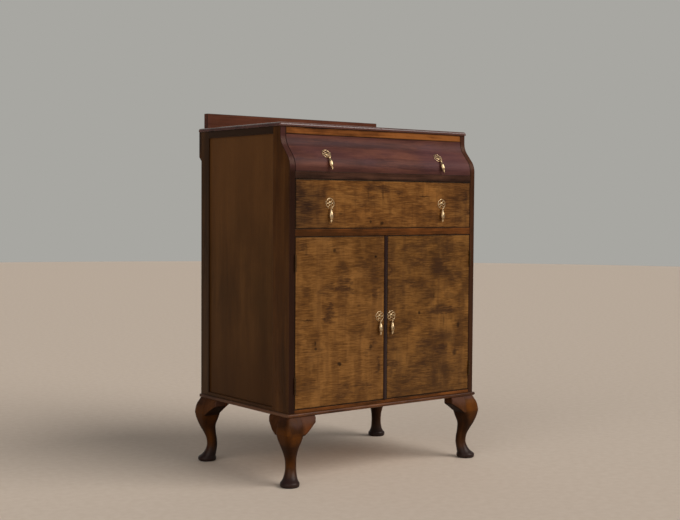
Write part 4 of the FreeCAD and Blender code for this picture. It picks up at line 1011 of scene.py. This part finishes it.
def make_nails():
    """Nails down both edges of the back panel and along its foot."""
    low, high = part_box("back_panel")
    bm = new_mesh()
    foot = low.z + NAIL_INSET
    for row in range(NAIL_ROWS + 1):
        z = foot + (high.z - foot - NAIL_TOP_SPACE) * row / NAIL_ROWS
        for x in (low.x + NAIL_INSET, high.x - NAIL_INSET):
            nail(bm, Vector((x, high.y, z)))
    for column in range(1, NAIL_COLUMNS):
        nail(bm, Vector((low.x + (high.x - low.x) * column / NAIL_COLUMNS, high.y, foot)))
    put("back_panel_nails", bm, STEEL, "carcass")


# Legs

def eased_between(values, position):
    """A smooth curve through evenly numbered values."""
    index = min(int(position), len(values) - 2)
    share = position - index
    before = values[max(index - 1, 0)]
    start, end = values[index], values[index + 1]
    after = values[min(index + 2, len(values) - 1)]
    leave, arrive = (end - before) / 2, (after - start) / 2
    return (start * (1 + 2 * share) * (1 - share) ** 2 + end * share ** 2 * (3 - 2 * share)
            + leave * share * (1 - share) ** 2 + arrive * share ** 2 * (share - 1))


def mark_shaded_inner_faces(bm, inwards):
    """Mark the faces that look in under the case, for painted shade."""
    bmesh.ops.recalc_face_normals(bm, faces=bm.faces)
    under = bm.faces.layers.float[UNDER_SHADE_LAYER]
    for face in bm.faces:
        face[under] = min(1, max(0, face.normal.dot(inwards)))


def make_leg(node, corner, inwards):
    """One cabriole leg, from its square top to its pad foot."""
    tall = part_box(node)[1].z
    columns = list(zip(*LEG_SECTION_SHARES))
    bm = new_mesh()
    rings = []
    for step in range((len(LEG_SECTION_SHARES) - 1) * LEG_RINGS_BETWEEN + 1):
        height, inset, half, power = (eased_between(column, step / LEG_RINGS_BETWEEN) for column in columns)
        middle = corner + inset * LEG_STOCK * inwards + height * tall * Z
        ring = bmesh.ops.create_circle(bm, segments=LEG_ROUND_STEPS, radius=1)["verts"]
        for vert in ring:
            across, along = abs(vert.co.x), abs(vert.co.y)
            reach = half * LEG_STOCK / (across ** power + along ** power) ** (1 / power)
            vert.co = middle + reach * vert.co
        rings.append(ring)
    loft(bm, rings)
    mark_shaded_inner_faces(bm, inwards.normalized())
    put(node + "_carved", bm, WOODS["leg"], "carcass", [node], flat=False)


def arc_through(start, end, radius, place):
    """Height of an arc between two points over a place between them; its middle is above the points."""
    chord = end - start
    rise = math.sqrt(radius ** 2 - chord.length_squared / 4)
    centre = (start + end) / 2 + rise * Vector((chord.y, -chord.x)).normalized()
    return centre.y + math.sqrt(radius ** 2 - (place - centre.x) ** 2)


def knee_depth(along):
    """How deep a knee block hangs below the top of the leg, a hollow arc."""
    return -arc_through(Vector((0, -KNEE_HEIGHT)), Vector((KNEE_LENGTH, -KNEE_TIP)), KNEE_HOLLOW, along)


def knee_face(along, depth):
    """How far a knee block stands before the case: swelling downwards, tapered away from the leg."""
    swell = arc_through(Vector((0, KNEE_TOP_FRONT)), Vector((KNEE_HEIGHT, KNEE_FRONT)), KNEE_SWELL, depth)
    taper = KNEE_JOINT_FRONT + (KNEE_TIP_FRONT - KNEE_JOINT_FRONT) * along / KNEE_LENGTH
    return min(swell, taper)


def knee_outline(along):
    """Section across a knee block from its back at the top, as how far out and how deep."""
    lowest = knee_depth(along)
    round_start = lowest - KNEE_LOWER_ROUND
    points = [(-KNEE_BACK, 0)]
    for step in range(KNEE_FACE_STEPS + 1):
        depth = round_start * step / KNEE_FACE_STEPS
        points.append((knee_face(along, depth), depth))
    for step in range(1, KNEE_ROUND_STEPS + 1):
        turn = QUARTER * step / KNEE_ROUND_STEPS
        depth = round_start + KNEE_LOWER_ROUND * math.sin(turn)
        points.append((knee_face(along, depth) - KNEE_LOWER_ROUND * (1 - math.cos(turn)), depth))
    return points + [(-KNEE_BACK, lowest)]


def make_knee_block(bm, corner, inwards, outwards):
    """A hollowed bracket that runs inwards from a leg and stands outwards, lapped into the leg."""
    rings = []
    for station in range(-KNEE_LAP_STATIONS, KNEE_STATIONS + 1):
        along = KNEE_LENGTH * station / KNEE_STATIONS
        start = corner + (KNEE_START + along) * inwards
        first, *others = (start + out * outwards - deep * Z for out, deep in knee_outline(max(0, along)))
        rings.append(Pen(bm, first).line(*others).closed())
    far_end = loft(bm, rings)[-1]
    # The far end of the block gets some painted shade as well.
    far_end[bm.faces.layers.float[UNDER_SHADE_LAYER]] = KNEE_END_SHADE
    soften(bm, far_end.edges, KNEE_END_ROUND)


def make_legs():
    """Four legs at the corners of the case, with two knee blocks beside each."""
    half_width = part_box("right_front_stile")[1].x
    half_depth = -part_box("right_front_stile")[0].y
    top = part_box("front_left_leg")[1].z
    for end, away in (("front", -Y), ("rear", Y)):
        blocks = new_mesh()
        for side, out in (("left", -X), ("right", X)):
            corner = half_width * out + half_depth * away
            make_leg("%s_%s_leg" % (end, side), corner, -out - away)
            make_knee_block(blocks, corner + top * Z, -out, away)
            make_knee_block(blocks, corner + top * Z, -away, out)
        put(end + "_knee_blocks_carved", blocks, WOODS["knee"], "carcass", [end + "_knee_blocks"])


# Handles and hinges

def rosette_mesh():
    """Pierced plate: a rim, a ring of petals, a boss, two ears and the pin between them."""
    bm = new_mesh()
    torus(bm, ROSETTE_RIM_WIRE * Z, Z, ROSETTE_RADIUS - ROSETTE_RIM_WIRE, ROSETTE_RIM_WIRE, ROSETTE_RIM_STEPS)
    torus(bm, PETAL_WIRE * Z, Z, BOSS_RADIUS, PETAL_WIRE, BOSS_STEPS, FINE_WIRE_STEPS)
    for number in range(ROSETTE_PETALS):
        turn = 2 * math.pi * (number + 0.5) / ROSETTE_PETALS
        centre = PETAL_CIRCLE * Vector((math.cos(turn), math.sin(turn), 0)) + PETAL_WIRE * Z
        torus(bm, centre, Z, PETAL_RADIUS, PETAL_WIRE, PETAL_STEPS, FINE_WIRE_STEPS)
    first, *others = (across * BOSS_RADIUS * X + out * ROSETTE_THICK * Z
                      for across, out in BOSS_RADIUS_AND_THICK_SHARES)
    Pen(bm, first).line(*others).spun(Z, TURNED_STEPS)
    for x in (EAR_NEAR, -EAR_NEAR - EAR_THICK):
        ear = Pen(bm, (x, -PIVOT_DROP - EAR_HEIGHT / 2, 0))
        ear.line((x, -PIVOT_DROP - EAR_HEIGHT / 2, PIVOT_OUT))
        ear.arc((x, -PIVOT_DROP, PIVOT_OUT), X, -math.pi, EAR_STEPS)
        ear.line((x, -PIVOT_DROP + EAR_HEIGHT / 2, 0))
        soften(bm, ear.solid(EAR_THICK * X), FINE_EDGE, FINE_STEPS)
    reach = EAR_NEAR + EAR_THICK + PIN_END
    rod(bm, Vector((-reach, -PIVOT_DROP, PIVOT_OUT)), X, PIVOT_PIN, 2 * reach, PIN_STEPS)
    return bm


def bolt_mesh(wall):
    """Domed head in front, shank through the wall and six-sided nut behind it."""
    bm = new_mesh()
    crown = ROSETTE_THICK + BOLT_HEAD_HEIGHT
    head = Pen(bm, crown * Z)
    head.curve((BOLT_DOME_SHARE * BOLT_HEAD, 0, crown),
               (BOLT_HEAD, 0, ROSETTE_THICK + BOLT_DOME_SHARE * BOLT_HEAD_HEIGHT),
               (BOLT_HEAD, 0, ROSETTE_THICK), BOLT_DOME_STEPS)
    head.line(BOLT_SEAT_SHARE * ROSETTE_THICK * Z).spun(Z, TURNED_STEPS)
    length = wall + NUT_HEIGHT + BOLT_END
    rod(bm, -length * Z, Z, BOLT_RADIUS, length, BOLT_STEPS)
    rod(bm, -(wall + NUT_HEIGHT) * Z, Z, NUT_RADIUS, NUT_HEIGHT, NUT_SIDES)
    return bm


def drop_mesh():
    """Pear-shaped drop with a slim neck, a turned finial and an eye for the pin."""
    def at(radius, depth):
        return Vector((radius * MM, -depth * MM, 0))

    bm = new_mesh()
    first, *neck = (at(*point) for point in DROP_NECK)
    pear = Pen(bm, first).line(*neck)
    for leaving, arriving, end, steps in DROP_CURVES:
        pear.curve(at(*leaving), at(*arriving), at(*end), steps)
    pear.spun(Y, DROP_STEPS)
    torus(bm, (0, 0, 0), X, EYE_RADIUS, EYE_WIRE, EYE_STEPS)
    return bm


def joint_place(child):
    """Where a moving piece is pivoted."""
    return [Vector(joint["pos_m"]) for joint in frame["joints"] if joint["child"] == child][0]


def make_handle(name, body, plate, bolt, lean, hang, wall):
    """One handle: plate and bolt on a front that may lean back, drop on its own body.

    Its pieces are made facing +Z with +Y up, and then turned onto the front.
    """
    drop = name + "_drop"
    pin = joint_place(drop)
    outward = Vector((0, -math.cos(lean), math.sin(lean)))
    upward = Vector((0, math.sin(lean), math.cos(lean)))
    centre = pin - outward * PIVOT_OUT + upward * PIVOT_DROP
    for shape, bm, finish, rider, node, place, tilt in (
            ("_rosette_pierced", rosette_mesh(), HANDLE_BRASS, body, plate, centre, lean),
            ("_bolt_domed", bolt_mesh(wall), DARK_BRASS, body, bolt, centre, lean),
            ("_drop_turned", drop_mesh(), HANDLE_BRASS, drop, drop, pin, hang)):
        stand = Matrix.Translation(place) @ Matrix.Rotation(QUARTER - tilt, 4, "X")
        bmesh.ops.transform(bm, matrix=stand, verts=bm.verts)
        put(name + shape, bm, finish, rider, [node], flat=False)


def thickness(node):
    """How thick a front is, from its face to its back."""
    low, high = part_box(node)
    return high.y - low.y


def make_handles():
    """Two handles on each drawer and one on each door."""
    ogee_wall = (thickness("upper_drawer_front") - OGEE_RECESS) * math.cos(OGEE_SLOPE) + OGEE_NUT_STAND
    for drawer, lean, hang, wall in (("upper_drawer", OGEE_SLOPE, UPPER_HANG, ogee_wall),
                                     ("lower_drawer", 0, 0, thickness("lower_drawer_front"))):
        for side in ("_left", "_right"):
            make_handle(drawer + side, drawer, drawer + "_rosettes", drawer + "_handle_bolts",
                        lean, hang, wall)
    for door in ("left_door", "right_door"):
        make_handle(door, door, door + "_rosette", door + "_handle_bolt", 0, 0, thickness(door))


def screw(bm, place, outward, turn):
    """Slotted countersunk screw head."""
    head = bmesh.new()
    bmesh.ops.create_cone(head, cap_ends=True, segments=SCREW_STEPS, radius1=SCREW_TAPER_SHARE * SCREW_HEAD,
                          radius2=SCREW_HEAD, depth=SCREW_THICK)
    for sign in (-1, 1):
        cut(head, sign * SCREW_SLOT * X, X)
    strip = [face for face in head.faces if face.normal.z > FACING
             and abs(face.calc_center_median().x) < SCREW_SLOT]
    made = bmesh.ops.extrude_face_region(head, geom=strip)["geom"]
    bmesh.ops.translate(head, vec=-SCREW_SLOT * Z, verts=of_kind(bmesh.types.BMVert, made))
    bmesh.ops.delete(head, geom=strip, context="FACES_ONLY")
    stand = Matrix.Translation(place) @ turn_to(outward) @ Matrix.Rotation(turn, 4, "Z")
    bmesh.ops.transform(head, matrix=stand, verts=head.verts)
    loose = bpy.data.meshes.new("screw")
    head.to_mesh(loose)
    head.free()
    bm.from_mesh(loose)
    bpy.data.meshes.remove(loose)


def hinge_half(bm, low, high, axis, outward, numbers):
    """One leaf with its knuckles and screws, let into the wood on one side of the pin."""
    face = axis.x + outward * (LEAF_GAP - LEAF_PROUD)
    near, far = sorted((face, axis.x + outward * (LEAF_GAP + LEAF_THICK)))
    front = axis.y + LEAF_SETBACK
    board(bm, Vector((near, front, low)), Vector((far, front + LEAF_WIDTH, high)), LEAF_EDGE)
    space = (high - low) * HINGE_SPACE_SHARE
    each = (high - low - space * (HINGE_KNUCKLES - 1)) / HINGE_KNUCKLES
    for number in numbers:
        start = low + (each + space) * number
        rod(bm, Vector((axis.x, axis.y, start)), Z, KNUCKLE_RADIUS, each, TURNED_STEPS)
        board(bm, Vector((near, axis.y, start)), Vector((far, front + LEAF_THICK, start + each)), LEAF_EDGE)
    for number, (share, back) in enumerate(SCREW_ROWS):
        place = Vector((face + outward * LEAF_PROUD, front + back, low + (high - low) * share))
        screw(bm, place, -outward * X, SCREW_FIRST_TURN + number)


def make_hinges():
    """Four butt hinges: fixed leaves on the case and their mates on the doors."""
    fixed = new_mesh()
    for side, sign in (("left", -1), ("right", 1)):
        axis = joint_place(side + "_door")
        moving = new_mesh()
        for low, high in solids(side + "_door_hinge_leaves"):
            hinge_half(moving, low.z, high.z, axis, -sign, range(1, HINGE_KNUCKLES, 2))
        for low, high in solids("hinge_fixed_leaves"):
            if low.x * sign > 0:
                hinge_half(fixed, low.z, high.z, axis, sign, range(0, HINGE_KNUCKLES, 2))
        put(side + "_door_leaves_screwed", moving, HINGE_BRASS, side + "_door",
            [side + "_door_hinge_leaves"])
    for low, high in solids("hinge_pins"):
        middle = (low + high) / 2
        rod(fixed, Vector((middle.x, middle.y, low.z)), Z, (high.x - low.x) / 2, high.z - low.z, PIN_STEPS)
    put("fixed_leaves_screwed", fixed, HINGE_BRASS, "carcass",
        ["hinge_fixed_leaves", "hinge_pins"])


# Ogee drawer and meeting bead

def make_upper_drawer():
    """The ogee front, and the sides that end on the hollow behind it."""
    low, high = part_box("upper_drawer_front")
    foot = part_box("upper_drawer_rail")[1].z + OGEE_FOOT
    back = high.y - OGEE_RECESS
    bm = new_mesh()
    pen = Pen(bm, low)
    pen.line((low.x, low.y, foot))
    ogee_up(pen, low.x, low.y, foot)
    pen.line((low.x, low.y + OGEE_RECESS, high.z), (low.x, high.y, high.z), (low.x, high.y, foot + OGEE_RISE))
    ogee_down(pen, low.x, back, foot)
    pen.line((low.x, back, low.z))
    soften(bm, pen.solid((high.x - low.x) * X))
    put("upper_drawer_front_ogee", bm, WOODS["ogee"], "upper_drawer", ["upper_drawer_front"])
    bm = new_mesh()
    for low, high in solids("upper_drawer_sides"):
        left = foot + OGEE_RISE - high.z
        pen = Pen(bm, (low.x, back, low.z))
        pen.line((low.x, back, foot))
        ogee_up(pen, low.x, back, foot, OGEE_SLOPE - math.asin(left / OGEE_RADIUS))
        pen.line((low.x, high.y, high.z), (low.x, high.y, low.z))
        soften(bm, pen.solid((high.x - low.x) * X), THIN_EDGE)
    put("upper_drawer_sides_shaped", bm, WOODS["pale_y"], "upper_drawer",
        ["upper_drawer_sides"])


def make_bead():
    """The rounded bead that the left door carries at its meeting edge."""
    low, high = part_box("meeting_bead")
    bm = new_mesh()
    rise = high.y - low.y - BEAD_EDGE
    half = (high.x - low.x) / 2
    radius = (half * half + rise * rise) / (2 * rise)
    pen = Pen(bm, (low.x, high.y, low.z))
    pen.line((high.x, high.y, low.z), (high.x, high.y - BEAD_EDGE, low.z))
    pen.arc(((low.x + high.x) / 2, low.y + radius, low.z), Z, -2 * math.asin(half / radius), BEAD_STEPS)
    pen.solid((high.z - low.z) * Z)
    put("meeting_bead_rounded", bm, WOODS["bead"], "left_door", ["meeting_bead"])


# Floor, light and camera

FLOOR_RADIUS = 14
FLOOR_STEPS = 96
FLOOR_GRAIN, FLOOR_DETAIL = (40, 40, 40), 3
FLOOR_STOPS = ((0.3, tint(213, 196, 179)), (0.7, tint(219, 203, 187)))
BACKDROP = (0.615, 0.788, 0)
BACKDROP_EDGE = (0.35, 0.8)
PALE_WALL = tint(168, 167, 162)
DIM_WALL = tint(86, 87, 90)
LIGHT_TINT = (1, 0.97, 0.93)

# Each light's name, the direction it comes from, its spread in degrees and its strength.
LIGHTS = [
    ("window", (0.38, -0.69, 0.62), 48, 2.2),
    ("left_fill", (-0.80, -0.45, 0.45), 60, 0.85),
]
CAMERA_PLACE = (-2.4515, -3.1488, 0.8516)
CAMERA_YAW, CAMERA_PITCH, CAMERA_ROLL = 37.966, 2.634, -0.351
CAMERA_SENSOR, CAMERA_LENS = 36, 63.354


def make_floor():
    """A wide plain floor."""
    finish = Finish("studio_floor", Roughness=0.8, Specular_IOR_Level=0.2)
    grain = finish.noise(finish.place(), FLOOR_GRAIN, FLOOR_DETAIL)
    finish.shine(Base_Color=finish.ramp(grain, *FLOOR_STOPS))
    bm = bmesh.new()
    bmesh.ops.create_circle(bm, cap_ends=True, segments=FLOOR_STEPS, radius=FLOOR_RADIUS)
    mesh = bpy.data.meshes.new("floor")
    bm.to_mesh(mesh)
    bm.free()
    mesh.materials.append(finish.material)
    floor = bpy.data.objects.new("floor", mesh)
    bpy.context.scene.collection.objects.link(floor)


def make_light():
    """A dim room with a pale wall behind, a broad light from the upper right and a weak one from the left."""
    world = bpy.data.worlds.new("soft_room")
    world.use_nodes = True
    room = Nodes(world.node_tree)
    toward = room.vector("DOT_PRODUCT", room.node("ShaderNodeTexCoord"), BACKDROP, output="Value")
    room.feed(world.node_tree.nodes["Background"], {
        "Color": room.mix(room.ease(toward, *BACKDROP_EDGE), DIM_WALL, PALE_WALL), "Strength": 1})
    bpy.context.scene.world = world
    for name, source, spread, strength in LIGHTS:
        light = bpy.data.lights.new(name, "SUN")
        light.angle = math.radians(spread)
        light.energy = strength
        light.color = LIGHT_TINT
        lamp = bpy.data.objects.new(name, light)
        bpy.context.scene.collection.objects.link(lamp)
        lamp.rotation_euler = Vector(source).to_track_quat("Z", "Y").to_euler()


def make_camera():
    """The photograph's view: from the left of the front, a little above the middle."""
    yaw, pitch, roll = (math.radians(angle) for angle in (CAMERA_YAW, CAMERA_PITCH, CAMERA_ROLL))
    forward = Vector((math.sin(yaw) * math.cos(pitch), math.cos(yaw) * math.cos(pitch), -math.sin(pitch)))
    level = Vector((math.cos(yaw), -math.sin(yaw), 0))
    down = forward.cross(level)
    right = math.cos(roll) * level + math.sin(roll) * down
    up = math.sin(roll) * level - math.cos(roll) * down
    data = bpy.data.cameras.new("camera")
    data.sensor_fit = "HORIZONTAL"
    data.sensor_width = CAMERA_SENSOR
    data.lens = CAMERA_LENS
    camera = bpy.data.objects.new("camera", data)
    bpy.context.scene.collection.objects.link(camera)
    turn = Matrix((right, up, -forward)).transposed().to_4x4()
    camera.matrix_world = Matrix.Translation(CAMERA_PLACE) @ turn
    bpy.context.scene.camera = camera
    bpy.context.scene.view_settings.view_transform = "Standard"


for row in BOARDS:
    boards(*row)
make_top()
make_front_stiles()
make_base()
make_nails()
make_legs()
make_hinges()
make_upper_drawer()
make_bead()
make_handles()
make_floor()
make_light()
make_camera()
